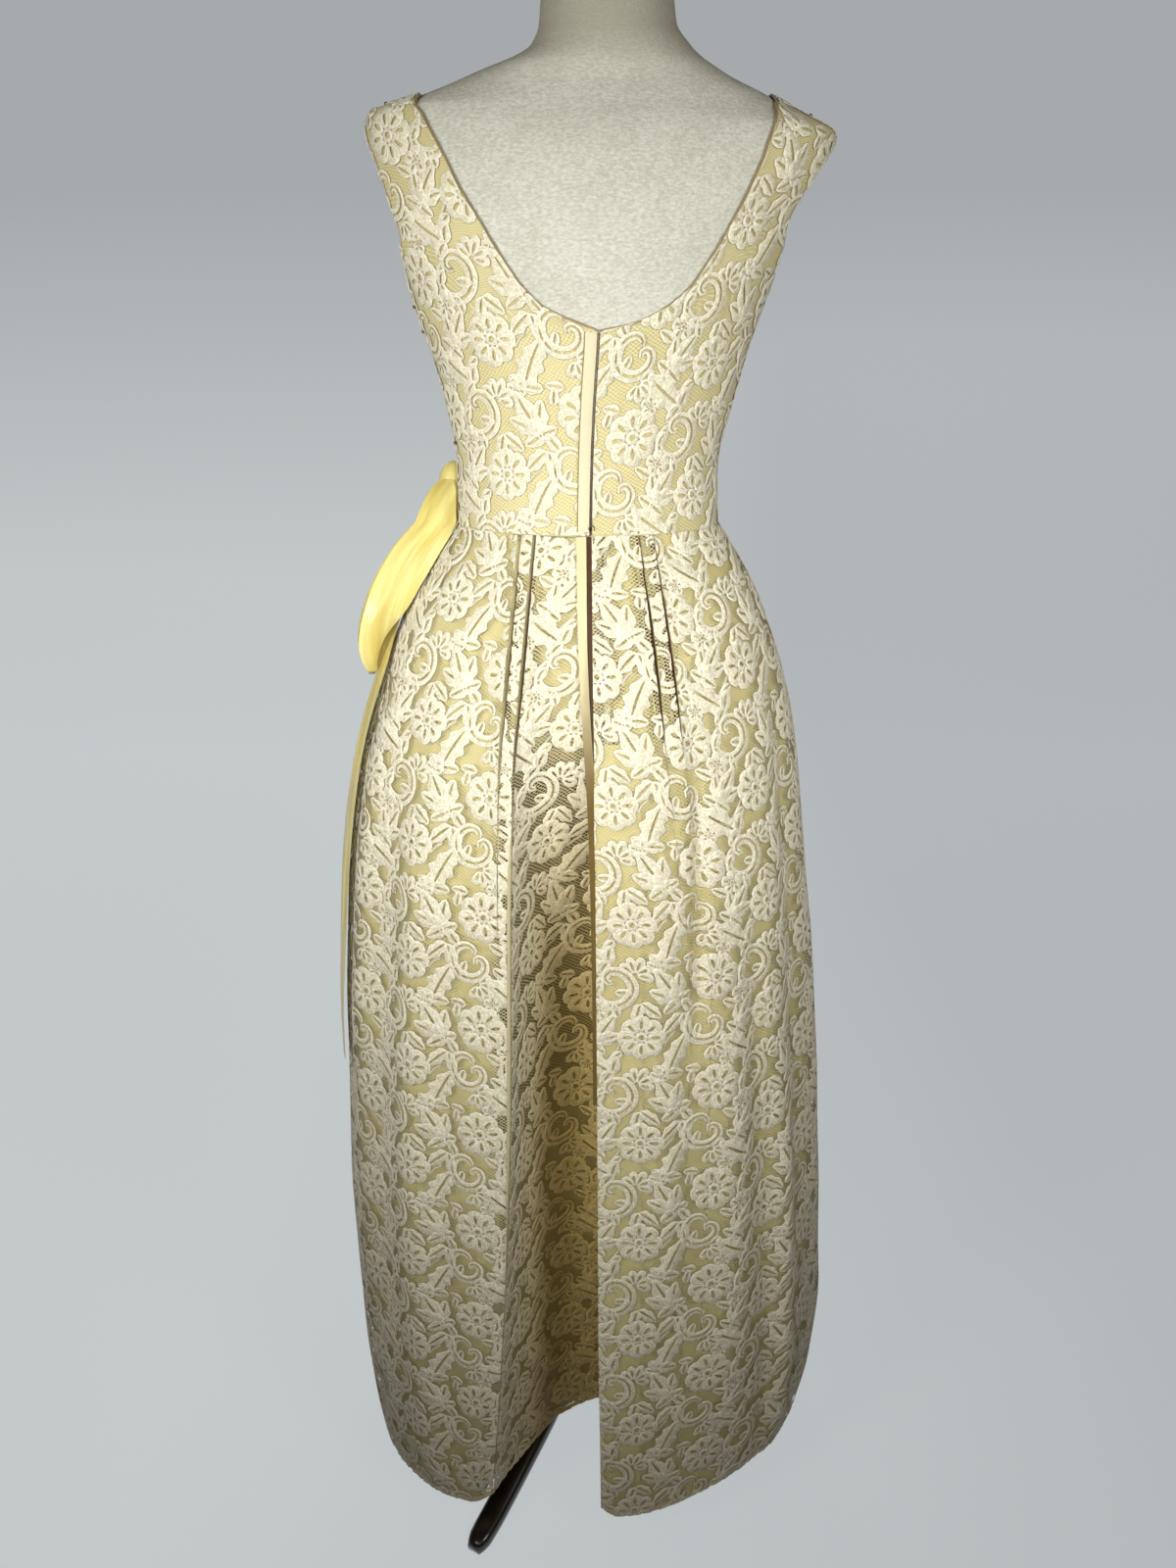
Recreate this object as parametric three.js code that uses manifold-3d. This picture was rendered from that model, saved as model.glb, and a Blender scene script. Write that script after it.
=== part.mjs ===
// A sleeveless floor-length gown: corded floral lace over yellow satin, with a satin bow at the left hip,
// worn by a limbless linen dress form that stands on a turned tripod.
// Millimetres, +Z up. The gown's front faces -Y and its left side is +X. The origin is on the floor,
// below the form's pole.
import * as THREE from "three";
import { mergeGeometries, mergeVertices } from "three/addons/utils/BufferGeometryUtils.js";
import Module from "manifold-3d";

const wasm = await Module();
wasm.setup();

// ---------------------------------------------------------------- driving dimensions
const SEAM = 0.3; // clearance between neighbouring pieces
const BODICE_CLOTH = 2.0; // lace mounted on satin
const LACE = 2.0; // corded lace, cords included
const SATIN = 1.6;
const RIBBON = 1.4;
const WAIST_Z = 1013;
const HEM_Z = 46;
const HEM_TILT = 0.115; // the hem hangs lower on the gown's left, by this much for each millimetre
const LINING_HEM_Z = 62;
const LINING_INSET = 6; // lace face to lining face, below the waist
const BACK_OPENING = 2.4; // width of the zip slot at the centre back
const UNDERARM_Z = 1200;
const SHOULDER_TIP_Z = 1334;
const SHOULDER_SEAM_Z = 1348; // at the neck end of the shoulder seam
const ARM_PLATE_X = 150; // half-width at which the form's arm ends are cut flat
const POLE_R = 13;
const FOOT_R = 238; // floor radius of the tripod
const LEG_ANGLES = [60.5, 180.5, 300.5];
const RECESS_CURVE = 2.4; // how sharply the cloth turns into the centre-back fold
const DEG = Math.PI / 180;

// ---------------------------------------------------------------- tables and interpolation
// A table of sections: named columns, the first of which is the height or the path share.
// It gives a function that reads all the columns at any place, on a smooth curve without overshoot.
function table(names, rows) {
  const [key, ...rest] = names.split(" ");
  const xs = rows.map((r) => r[0]);
  const curves = rest.map((_, i) => monotone(xs, rows.map((r) => r[i + 1])));
  return (x) => {
    const at = { [key]: x };
    rest.forEach((name, i) => (at[name] = curves[i](x)));
    return at;
  };
}

function monotone(xs, ys) {
  const n = xs.length;
  const slope = xs.slice(1).map((x, i) => (ys[i + 1] - ys[i]) / (x - xs[i]));
  const tangent = xs.map((_, i) => {
    if (i === 0) return slope[0];
    if (i === n - 1) return slope[n - 2];
    const [a, b] = [slope[i - 1], slope[i]];
    return a * b <= 0 ? 0 : (2 * a * b) / (a + b);
  });
  return (x) => {
    if (x <= xs[0]) return ys[0];
    if (x >= xs[n - 1]) return ys[n - 1];
    const i = xs.findIndex((v) => v > x) - 1;
    const h = xs[i + 1] - xs[i];
    const t = (x - xs[i]) / h;
    const [t2, t3] = [t * t, t * t * t];
    return (
      (2 * t3 - 3 * t2 + 1) * ys[i] +
      (t3 - 2 * t2 + t) * h * tangent[i] +
      (3 * t2 - 2 * t3) * ys[i + 1] +
      (t3 - t2) * h * tangent[i + 1]
    );
  };
}

// Outer face of the bodice and of the body above it. centre is the centre-back line's x; left and right
// are half-widths from it; back and front are depths.
const bodySections = table("z centre left right back front", [
  [1013, -2, 116, 113, 84, 98],
  [1066, -3, 117, 110, 86, 100],
  [1116, -5, 127, 119, 93, 110],
  [1163, -8, 142.5, 128.5, 101, 123],
  [1187, -9, 152.5, 135.5, 105, 127],
  [1210, -10, 160, 143, 108, 126],
  [1232, -10.5, 169, 153, 108, 120],
  [1254, -11, 176, 160, 106, 111],
  [1276, -11, 184, 172, 101, 102],
  [1298, -11.5, 188, 182, 93, 92],
  [1319, -12, 191, 187, 82, 80],
  [1334, -12, 188, 160, 72, 70],
  [1344, -12.5, 159.5, 140.5, 66, 64],
  [1349, -12.5, 145, 131, 63, 60],
  [1362, -13, 106, 98, 58, 55],
  [1372, -14, 75.5, 78, 55, 52],
  [1381, -14.5, 60.5, 67, 53, 51],
  [1397, -14.5, 53, 55, 51, 50],
  [1440, -14.5, 50, 50, 49, 51],
]);
// The form below the bust, narrower than the cloth that hangs over it.
const hipSections = table("z centre left right back front", [
  [770, -3, 112, 112, 80, 80],
  [786, -3, 132, 130, 96, 94],
  [830, -3, 145, 142, 106, 104],
  [890, -3, 140, 136, 102, 104],
  [950, -3, 114, 112, 80, 92],
  [1013, -2, 99, 97, 68, 82],
  [1066, -3, 108, 101, 78, 91],
  [1116, -5, 123, 115, 89, 106],
]);
// Outer face of the skirt; squareness is the exponent of its rounded outline in plan.
const skirtSections = table("z centre left right back front squareness", [
  [46, -9, 246, 232, 197, 199, 2.3],
  [98, -9, 253, 241, 198, 200, 2.3],
  [182, -9, 258.5, 242, 198, 200, 2.3],
  [263, -8, 259, 238, 196, 199, 2.3],
  [340, -7, 259, 235, 194, 197, 2.3],
  [415, -6, 256, 230, 191, 195, 2.3],
  [486, -6, 253, 225, 188, 192, 2.25],
  [554, -5, 249, 219, 184, 188, 2.25],
  [620, -5, 244, 213, 179, 184, 2.2],
  [712, -4, 234, 204, 172, 177, 2.2],
  [771, -4, 225, 197, 164, 170, 2.15],
  [828, -3, 210.5, 189.5, 155, 160, 2.1],
  [883, -3, 191, 176, 142, 147, 2.1],
  [937, -3, 168, 156.5, 124, 130, 2.1],
  [964, -2, 151, 145, 112, 120, 2.05],
  [990, -2, 133, 129.5, 98, 109, 2],
  [1003, -2, 123, 121.5, 90, 102, 2],
  [1013, -2, 117, 114, 85, 99, 2],
]);
// The centre-back fold: x of the left panel's fold edge, x of the right panel's edge and the fold's depth.
const backFold = table("z leftEdge rightEdge depth", [
  [46, 98, -13, 108],
  [120, 92, -12, 106],
  [245, 83, -10, 100],
  [400, 74, -9, 92],
  [532, 69, -8, 82],
  [640, 67, -7, 68],
  [740, 65, -6, 46],
  [790, 63, -5, 30],
  [835, 61, -5, 18],
  [900, 55, -4, 11],
  [1013, 44, -3, 8],
]);
// Heights of the rows of the skirt's walls.
const SKIRT_ROWS = [0, 60, 150, 260, 380, 500, 600, 685, 755, 815, 867, 912, 945, 966.7];
const LINING_ROWS = [0, 130, 300, 470, 600, 669, 739, 799, 851, 896, 929, 950.7];
// Pressed pleats of the skirt: signed x at the waist and at the end, the height where each has faded out.
const backRightPleats = [
  { top: -41, end: -72, height: 6 },
  { top: -53, end: -88, height: 5 },
];
const frontPleats = [
  { top: -56, end: -90, height: 5 },
  { top: -43, end: -74, height: 6 },
  { top: 43, end: 74, height: 6 },
  { top: 56, end: 90, height: 5 },
];
const PLEAT_END_Z = 780;
const PLEAT_FADE_Z = 640;
const PLEAT_FULL_Z = 900;

// Neckline, from the centre back or centre front to the shoulder seam, and armholes, from the underarm
// to the shoulder tip. angle is measured round the body from its side, share runs along the edge.
const backNeck = table("share angle z", [
  [0, 90, 1171],
  [0.12, 80, 1176],
  [0.25, 70, 1188],
  [0.38, 62, 1206],
  [0.5, 58, 1231],
  [0.62, 54.5, 1261],
  [0.75, 50.5, 1290],
  [0.87, 41, 1322],
  [0.94, 26, 1341],
  [1, 0, SHOULDER_SEAM_Z],
]);
const frontNeck = table("share angle z", [
  [0, 90, 1256],
  [0.2, 76, 1258],
  [0.4, 64, 1267],
  [0.55, 56, 1283],
  [0.7, 50, 1303],
  [0.85, 40, 1325],
  [0.94, 25, 1341],
  [1, 0, SHOULDER_SEAM_Z],
]);
const armhole = table("share angle z", [
  [0, 0, UNDERARM_Z],
  [0.14, 8, 1207],
  [0.3, 17, 1226],
  [0.46, 22, 1250],
  [0.62, 22, 1276],
  [0.78, 17, 1300],
  [0.9, 9, 1319],
  [1, 0, SHOULDER_TIP_Z],
]);
const SHOULDER_DROP_RIGHT = 12; // the right shoulder's tip sits lower

// ---------------------------------------------------------------- small helpers
const mix = (a, b, t) => a + (b - a) * t;
const clamp = (x, low, high) => Math.min(high, Math.max(low, x));
const smooth = (t) => {
  const s = clamp(t, 0, 1);
  return s * s * (3 - 2 * s);
};
const signedPower = (x, p) => Math.sign(x) * Math.abs(x) ** p;
const range = (n) => [...Array(n).keys()];

function ringPoint(ring, angle, out = 0) {
  const [c, s] = [Math.cos(angle), Math.sin(angle)];
  const power = 2 / (ring.squareness ?? 2);
  const halfWidth = (c > 0 ? ring.left : ring.right) + out;
  const halfDepth = (s > 0 ? ring.back : ring.front) + out;
  return new THREE.Vector3(
    ring.centre + halfWidth * signedPower(c, power),
    halfDepth * signedPower(s, power),
    ring.z,
  );
}

// The outward normal of a surface of sections, which neighbouring pieces share at their seam.
function ringNormal(sections, z, angle) {
  const [turn, rise] = [0.01, 0.5];
  const along = ringPoint(sections(z), angle + turn).sub(ringPoint(sections(z), angle - turn));
  const up = ringPoint(sections(z + rise), angle).sub(ringPoint(sections(z - rise), angle));
  return along.cross(up).normalize();
}
const seamPoint = (sections, z, angle, out = 0) => {
  const p = ringPoint(sections(z), angle, out);
  p.seamNormal = ringNormal(sections, z, angle);
  return p;
};

// The angle round a section at which it reaches a given x, on the back half.
function angleAtX(ring, x) {
  const dx = x - ring.centre;
  const share = clamp(Math.abs(dx) / (dx > 0 ? ring.left : ring.right), 0, 1);
  const c = share ** ((ring.squareness ?? 2) / 2);
  return Math.acos(dx > 0 ? c : -c);
}

// Points are kept to a thousandth of a millimetre, so that pieces of one wall meet on the same points.
const toMicron = (v) => Math.round(v * 1000) / 1000;
const fromGrid = (points, triangles) => {
  const g = new THREE.BufferGeometry();
  const places = points.flatMap((p) => [p.x, p.y, p.z].map(toMicron));
  g.setAttribute("position", new THREE.Float32BufferAttribute(places, 3));
  g.setIndex(triangles);
  return g;
};

// A closed wall from a grid of points on its outer face: columns run so that (column step) x (row step)
// points out of the cloth. A point on a seam brings the normal that its neighbour has too.
// A level wall's first and last rows stay at the height of their outer points. joined tells how many of the
// lowest rows of the first or last column run on into another wall, and so have no edge of their own.
function wall(grid, thickness, { level = false, joined = {} } = {}) {
  const columns = grid.length;
  const rows = grid[0].length;
  const at = (i, j) => grid[clamp(i, 0, columns - 1)][clamp(j, 0, rows - 1)];
  const inner = grid.map((column, i) =>
    column.map((p, j) => {
      const along = at(i + 1, j).clone().sub(at(i - 1, j));
      const up = at(i, j + 1).clone().sub(at(i, j - 1));
      const normal = p.seamNormal?.clone() ?? along.cross(up).normalize();
      if (level && (j === 0 || j === rows - 1)) normal.setZ(0).normalize();
      return p.clone().addScaledVector(normal, -thickness);
    }),
  );
  const points = [...grid.flat(), ...inner.flat()];
  const outerAt = (i, j) => i * rows + j;
  const innerAt = (i, j) => columns * rows + i * rows + j;
  const triangles = [];
  const quad = (a, b, c, d) => triangles.push(a, b, c, a, c, d);
  for (const i of range(columns - 1))
    for (const j of range(rows - 1)) {
      quad(outerAt(i, j), outerAt(i + 1, j), outerAt(i + 1, j + 1), outerAt(i, j + 1));
      quad(innerAt(i, j), innerAt(i, j + 1), innerAt(i + 1, j + 1), innerAt(i + 1, j));
    }
  for (const i of range(columns - 1)) {
    quad(innerAt(i, 0), innerAt(i + 1, 0), outerAt(i + 1, 0), outerAt(i, 0));
    quad(outerAt(i, rows - 1), outerAt(i + 1, rows - 1), innerAt(i + 1, rows - 1), innerAt(i, rows - 1));
  }
  const last = columns - 1;
  for (const j of range(rows - 1).slice(joined.first ?? 0))
    quad(outerAt(0, j), outerAt(0, j + 1), innerAt(0, j + 1), innerAt(0, j));
  for (const j of range(rows - 1).slice(joined.last ?? 0))
    quad(innerAt(last, j), innerAt(last, j + 1), outerAt(last, j + 1), outerAt(last, j));
  return fromGrid(points, triangles);
}

// A closed body through rings of points, counter-clockwise seen from the end they run to.
function loft(rings) {
  const n = rings[0].length;
  const points = rings.flat();
  const triangles = [];
  const centre = (ring) => ring.reduce((sum, p) => sum.add(p), new THREE.Vector3()).divideScalar(n);
  for (const k of range(rings.length - 1))
    for (const i of range(n)) {
      const [a, b] = [k * n + i, k * n + ((i + 1) % n)];
      triangles.push(a, b, b + n, a, b + n, a + n);
    }
  const [low, high] = [points.length, points.length + 1];
  points.push(centre(rings[0]), centre(rings.at(-1)));
  const top = (rings.length - 1) * n;
  for (const i of range(n)) {
    const next = (i + 1) % n;
    triangles.push(low, next, i, high, top + i, top + next);
  }
  return fromGrid(points, triangles);
}

// Rounded rectangular sections swept along a path: each step gives a centre, an across and an up half-vector.
function sweep(steps, sides) {
  return loft(
    steps.map(({ centre, across, up }) =>
      range(sides).map((i) => {
        const t = (2 * Math.PI * i) / sides;
        return centre
          .clone()
          .addScaledVector(across, signedPower(Math.cos(t), 0.7))
          .addScaledVector(up, signedPower(Math.sin(t), 0.7));
      }),
    ),
  );
}

function solid(geometry) {
  const bare = geometry.clone();
  bare.deleteAttribute("normal");
  bare.deleteAttribute("uv");
  const merged = mergeVertices(bare, 1e-4);
  return new wasm.Manifold(
    new wasm.Mesh({
      numProp: 3,
      vertProperties: new Float32Array(merged.attributes.position.array),
      triVerts: new Uint32Array(merged.index.array),
    }),
  );
}

function geometryOf(body) {
  const mesh = body.getMesh();
  const g = new THREE.BufferGeometry();
  g.setAttribute("position", new THREE.BufferAttribute(Float32Array.from(mesh.vertProperties), 3));
  g.setIndex(new THREE.BufferAttribute(Uint32Array.from(mesh.triVerts), 1));
  return g;
}

const subtract = (geometry, ...tools) =>
  geometryOf(tools.reduce((body, tool) => body.subtract(solid(tool)), solid(geometry)));

// ---------------------------------------------------------------- materials
const material = (color, roughness, metalness = 0) =>
  new THREE.MeshStandardMaterial({ color, roughness, metalness, side: THREE.DoubleSide });
const finishes = {
  lace: () => material(0xece7cf, 0.85),
  satin: () => material(0xf0e49a, 0.45),
  ribbon: () => material(0xf5ea9e, 0.35),
  binding: () => material(0xe9dfb4, 0.6),
  linen: () => material(0xd9d9cc, 0.95),
  darkWood: () => material(0x1b1714, 0.3),
  steel: () => material(0x9a9a98, 0.35, 1),
};

const gown = new THREE.Group();
function add(name, geometry, finish) {
  const mesh = new THREE.Mesh(geometry, finishes[finish]());
  mesh.name = name;
  gown.add(mesh);
}

// ---------------------------------------------------------------- bodice
const SIDE_SEAM_ANGLE = 0.12 * DEG; // half the side seam's clearance

// Levels of the bodice's rows: 0 to 1 climbs the straight seam, 1 to 2 the neckline or armhole.
const BODICE_LEVELS = [
  0, 0.2, 0.4, 0.6, 0.8, 1, 1.08, 1.16, 1.24, 1.32, 1.42, 1.52, 1.62, 1.72, 1.81, 1.88, 1.95, 2,
];
const BODICE_COLUMNS = 10;
function edgePath(level, edge) {
  if (level > 1) return edge(level - 1);
  const start = edge(0);
  return { angle: start.angle, z: mix(WAIST_Z + SEAM, start.z, level) };
}

// One half of a bodice panel, from its centre line and neckline to its side seam and armhole.
// side is +1 on the gown's left and -1 on its right; back is +1 on the back and -1 on the front.
function bodicePoint(u, level, side, back, centreGap) {
  const neck = edgePath(level, back > 0 ? backNeck : frontNeck);
  const arm = edgePath(level, armhole);
  const climb = Math.max(0, arm.z - UNDERARM_Z) / (SHOULDER_TIP_Z - UNDERARM_Z);
  const drop = side < 0 ? SHOULDER_DROP_RIGHT * climb : 0;
  const z = mix(neck.z, arm.z - drop, u);
  const ring = bodySections(z);
  const halfWidth = side > 0 ? ring.left : ring.right;
  const gapAngle = centreGap / halfWidth;
  const degrees = mix(neck.angle, arm.angle, u) * DEG;
  const angle = clamp(degrees, SIDE_SEAM_ANGLE, Math.PI / 2 - gapAngle);
  return seamPoint(bodySections, z, back * (side > 0 ? angle : Math.PI - angle));
}

function bodiceHalf(side, back, centreGap) {
  const columns = range(BODICE_COLUMNS + 1).map((i) => {
    const u = i / BODICE_COLUMNS;
    return BODICE_LEVELS.map((level) => bodicePoint(u, level, side, back, centreGap));
  });
  // Round the body counter-clockwise seen from above, so that the wall's outer face looks out.
  return side * back > 0 ? columns.reverse() : columns;
}

add("bodice_back_left", wall(bodiceHalf(1, 1, BACK_OPENING / 2), BODICE_CLOTH), "lace");
add("bodice_back_right", wall(bodiceHalf(-1, 1, BACK_OPENING / 2), BODICE_CLOTH), "lace");
// The front is cut in one: its halves share the centre front up to the neckline.
const SEAM_ROWS = BODICE_LEVELS.indexOf(1);
const frontRight = wall(bodiceHalf(-1, -1, 0), BODICE_CLOTH, { joined: { last: SEAM_ROWS } });
const frontLeft = wall(bodiceHalf(1, -1, 0), BODICE_CLOTH, { joined: { first: SEAM_ROWS } });
add("bodice_front", mergeGeometries([frontRight, frontLeft]), "lace");

// ---------------------------------------------------------------- neck edge binding
const BINDING_WIDTH = 5;
const BINDING_THICK = 2.2;
const BINDING_SHARES = BODICE_LEVELS.filter((level) => level >= 1).map((level) => level - 1);

// A flat band that stands on the neckline's edge, made from the bodice's own edge points.
function bindingShape(side, back, centreGap) {
  const edgeAt = (share) => bodicePoint(0, 1 + clamp(share, 0, 1), side, back, centreGap);
  const rings = BINDING_SHARES.map((share) => {
    const edge = edgeAt(share);
    const face = edge.seamNormal;
    const along = edgeAt(share + 0.05).sub(edgeAt(share - 0.05)).normalize();
    const away = face.clone().cross(along).multiplyScalar(-side * back).normalize();
    const middle = edge
      .clone()
      .addScaledVector(away, 2 * SEAM + BINDING_WIDTH / 2)
      .addScaledVector(face, -BODICE_CLOTH / 2);
    return [[-1, -1], [1, -1], [1, 1], [-1, 1]].map(([a, b]) =>
      middle
        .clone()
        .addScaledVector(away, (a * BINDING_WIDTH) / 2)
        .addScaledVector(face, (b * BINDING_THICK) / 2),
    );
  });
  return loft(side * back < 0 ? rings : rings.map((ring) => ring.reverse()));
}
add("neck_binding_back_left", bindingShape(1, 1, BACK_OPENING), "binding");
add("neck_binding_back_right", bindingShape(-1, 1, BACK_OPENING), "binding");
add("neck_binding_front_left", bindingShape(1, -1, 2 * SEAM), "binding");
add("neck_binding_front_right", bindingShape(-1, -1, 2 * SEAM), "binding");

// ---------------------------------------------------------------- zip placket
const PLACKET_WIDTH = 15;
const PLACKET_THICK = 1.6;
const PLACKET_LOW_Z = WAIST_Z + 3;
const PLACKET_HIGH_Z = 1170;
const ZIP_INSET = 4; // the chain stops this much short of the placket's ends
const ZIP_SUNK = 0.6; // its face below the cloth's
const ZIP_THICK = 1.8;
const placketPoint = (offsetX, z, out) => {
  const ring = bodySections(z);
  return ringPoint(ring, angleAtX(ring, ring.centre + offsetX), out);
};
const STRIP_ROWS = 8;

// An upright strip on the centre back: out is its outer face's height over the cloth.
function strip({ fromX, toX, shorten, out, thickness }) {
  const heightAt = (j) => mix(PLACKET_LOW_Z + shorten, PLACKET_HIGH_Z - shorten, j / STRIP_ROWS);
  const column = (x) => range(STRIP_ROWS + 1).map((j) => placketPoint(x, heightAt(j), out));
  return wall([toX, mix(fromX, toX, 0.5), fromX].map(column), thickness);
}

const placket = {
  fromX: BACK_OPENING / 2,
  toX: BACK_OPENING / 2 + PLACKET_WIDTH,
  shorten: 0,
  out: SEAM + PLACKET_THICK,
  thickness: PLACKET_THICK,
};
add("zip_placket", strip(placket), "lace");
const ZIP_HALF = BACK_OPENING / 2 - SEAM;
const chain = { fromX: -ZIP_HALF, toX: ZIP_HALF, shorten: ZIP_INSET, out: -ZIP_SUNK, thickness: ZIP_THICK };
add("zip_chain", strip(chain), "steel");

// ---------------------------------------------------------------- skirt lace
const turnIn = (t) => 1 - (1 - clamp(t, 0, 1)) ** RECESS_CURVE;

// A pressed pleat's ridge: it falls off sharply on the far side of its edge and gently on the near side.
const PLEAT_STEP = 4;
const PLEAT_BACK = 11;
function ridgeShape(ahead) {
  return ahead > 0 ? Math.max(0, 1 - ahead / PLEAT_STEP) : Math.exp(-((ahead / PLEAT_BACK) ** 2));
}

function pleatX(pleat, z) {
  const t = clamp((WAIST_Z - z) / (WAIST_Z - PLEAT_END_Z), 0, 1.6);
  return mix(pleat.top, pleat.end, t);
}
const pleatFade = (z) => smooth((z - PLEAT_FADE_Z) / (PLEAT_FULL_Z - PLEAT_FADE_Z));
const pleatLift = (pleats, x, z) =>
  pleats.reduce((sum, pleat) => {
    const ahead = (x - pleatX(pleat, z)) * Math.sign(pleat.top);
    return sum + pleat.height * ridgeShape(ahead) * pleatFade(z);
  }, 0);

const SEAM_ANGLE = 0.05 * DEG; // half the skirt's side seam clearance
const PLEAT_MARGIN = 12; // from a pleat to the plain cloth beyond it
const spread = (from, to, n) => range(n).map((i) => mix(from, to, i / n));

// Signed x of each column, with columns gathered round the pleats.
function pleatColumns(pleats, z) {
  return pleats.flatMap((pleat) => {
    const out = Math.sign(pleat.top);
    const steps = [-8, 0, PLEAT_STEP];
    return steps.map((step) => pleatX(pleat, z) + out * step).sort((a, b) => a - b);
  });
}

function ringWithLift(ring, angle, pleats) {
  const p = ringPoint(ring, angle);
  return ringPoint(ring, angle, pleatLift(pleats, p.x, ring.z));
}

// Centre-back left panel: round the ring from the side seam to the fold's edge, then in to the fold's bed
// and on behind the right panel.
const BED_SHARES = [0.04, 0.12, 0.24, 0.4, 0.6, 0.8, 1];
const RING_COLUMNS = 11;
// Across the two pressed edges beside the fold: distance from the fold's edge, and share of the full lift.
const FOLD_EDGE_STEPS = [
  { step: 18, lift: 0.3 },
  { step: 11, lift: 1 },
  { step: 8, lift: 0 },
  { step: 4, lift: 0.4 },
  { step: 0, lift: 0.8 },
];
const FOLD_EDGE_MARGIN = 26; // from the fold's edge to the plain cloth beyond it
const FOLD_EDGE_LIFT = 5;
const UNDERLAP = 14; // of the fold's bed behind the right panel
const BED_HEM_RISE = 22;
const HEM_SHAPE_REACH = 400; // height above the hem at which its tilt and rise have faded out
const BED_START = RING_COLUMNS + FOLD_EDGE_STEPS.length;

function backLeftColumn(z, i) {
  const ring = skirtSections(z);
  const fold = backFold(z);
  const edgeAngle = angleAtX(ring, fold.leftEdge + FOLD_EDGE_MARGIN);
  if (i === 0) return seamPoint(skirtSections, z, SEAM_ANGLE);
  if (i < RING_COLUMNS) return ringPoint(ring, mix(SEAM_ANGLE, edgeAngle, i / (RING_COLUMNS - 1)));
  const near = FOLD_EDGE_STEPS[i - RING_COLUMNS];
  if (near) {
    const angle = angleAtX(ring, fold.leftEdge + near.step);
    return ringPoint(ring, angle, FOLD_EDGE_LIFT * near.lift * pleatFade(z));
  }
  const share = BED_SHARES[i - BED_START];
  const x = share === undefined ? fold.rightEdge - UNDERLAP : mix(fold.leftEdge, 0, share);
  const p = ringPoint(ring, angleAtX(ring, x));
  p.y -= fold.depth * turnIn(share ?? 1);
  return p;
}
const skirtZ = (row) => HEM_Z + row;

// The hem is tilted, and the bed of the fold hangs a little higher than the rest.
function shapeHem(p, row, bedShare = 0) {
  p.z += (BED_HEM_RISE * bedShare - HEM_TILT * p.x) * (1 - smooth(row / HEM_SHAPE_REACH));
  return p;
}
const backLeftGrid = range(BED_START + BED_SHARES.length + 1).map((i) =>
  SKIRT_ROWS.map((row) => {
    const share = i < BED_START ? 0 : turnIn(BED_SHARES[i - BED_START] ?? 1);
    return shapeHem(backLeftColumn(skirtZ(row), i), row, share);
  }),
);
add("skirt_back_left", wall(backLeftGrid, LACE, { level: true }), "lace");

// Right panel: a crisp edge at the centre back, with its return running in to meet the fold's bed.
const RETURN_SHARES = [1, 0.66, 0.33, 0.1];
const RETURN_SLANT = 10;

function backRightColumns(z, row) {
  const ring = skirtSections(z);
  const fold = backFold(z);
  const edge = ringPoint(ring, angleAtX(ring, fold.rightEdge));
  const reach = fold.depth - SEAM;
  const returns = RETURN_SHARES.map((share) => {
    const p = edge.clone();
    p.x -= RETURN_SLANT * share;
    p.y -= reach * share;
    return shapeHem(p, row, turnIn(share));
  });
  const pleatXs = pleatColumns(backRightPleats, z).reverse();
  const toPleat = (share) => mix(fold.rightEdge, pleatXs[0], share);
  const xs = [...[0, 0.22, 0.6].map(toPleat), ...pleatXs];
  const xsPoints = xs.map((x) => ringWithLift(ring, angleAtX(ring, x), backRightPleats));
  const last = angleAtX(ring, pleatXs.at(-1) - PLEAT_MARGIN);
  const rest = spread(last, Math.PI - SEAM_ANGLE, 9);
  const panel = [
    ...xsPoints,
    ...rest.map((angle) => ringWithLift(ring, angle, backRightPleats)),
    seamPoint(skirtSections, z, Math.PI - SEAM_ANGLE),
  ];
  return [...returns, ...panel.map((p) => shapeHem(p, row))];
}
const transpose = (lines) => lines[0].map((_, i) => lines.map((line) => line[i]));
const rightRows = SKIRT_ROWS.map((row) => backRightColumns(skirtZ(row), row));
add("skirt_back_right", wall(transpose(rightRows), LACE, { level: true }), "lace");

function frontColumnsAt(row) {
  const z = skirtZ(row);
  const ring = skirtSections(z);
  const xs = pleatColumns(frontPleats, z);
  const angles = xs.map((x) => -angleAtX(ring, x));
  const half = angles.length / 2;
  const between = [-0.6, -0.2, 0.2, 0.6].map((share) => share * xs[half]);
  const rightEnd = -angleAtX(ring, xs[0] - PLEAT_MARGIN);
  const leftEnd = -angleAtX(ring, xs.at(-1) + PLEAT_MARGIN);
  const groups = [
    ...spread(-Math.PI + SEAM_ANGLE, rightEnd, 7).slice(1),
    rightEnd,
    ...angles.slice(0, half),
    ...between.map((x) => -angleAtX(ring, x)),
    ...angles.slice(half),
    ...spread(leftEnd, -SEAM_ANGLE, 7),
  ];
  return [
    seamPoint(skirtSections, z, -Math.PI + SEAM_ANGLE),
    ...groups.map((angle) => ringWithLift(ring, angle, frontPleats)),
    seamPoint(skirtSections, z, -SEAM_ANGLE),
  ].map((p) => shapeHem(p, row));
}
const frontRows = SKIRT_ROWS.map(frontColumnsAt);
add("skirt_front", wall(transpose(frontRows), LACE, { level: true }), "lace");

// ---------------------------------------------------------------- satin lining of the skirt
const LINING_FOLD_SHIFT = 9; // its fold's edge from the lace's
const LINING_RIGHT_START = 18; // from the lace's right edge to where the lining starts to climb
const LINING_RIGHT_RUN = 30; // the width of that climb
const LINING_MARGIN = 12;
const LINING_BED_RISE = 0.6; // share of the lace's rise over the fold's bed

// The lining is sewn in at the waist, and hangs clear of the lace below it.
const LINING_EASE = 180; // height below the waist at which it hangs free
function liningInset(z) {
  return mix(LACE + SEAM, LINING_INSET, turnIn((WAIST_Z - SEAM - z) / LINING_EASE));
}

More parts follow.
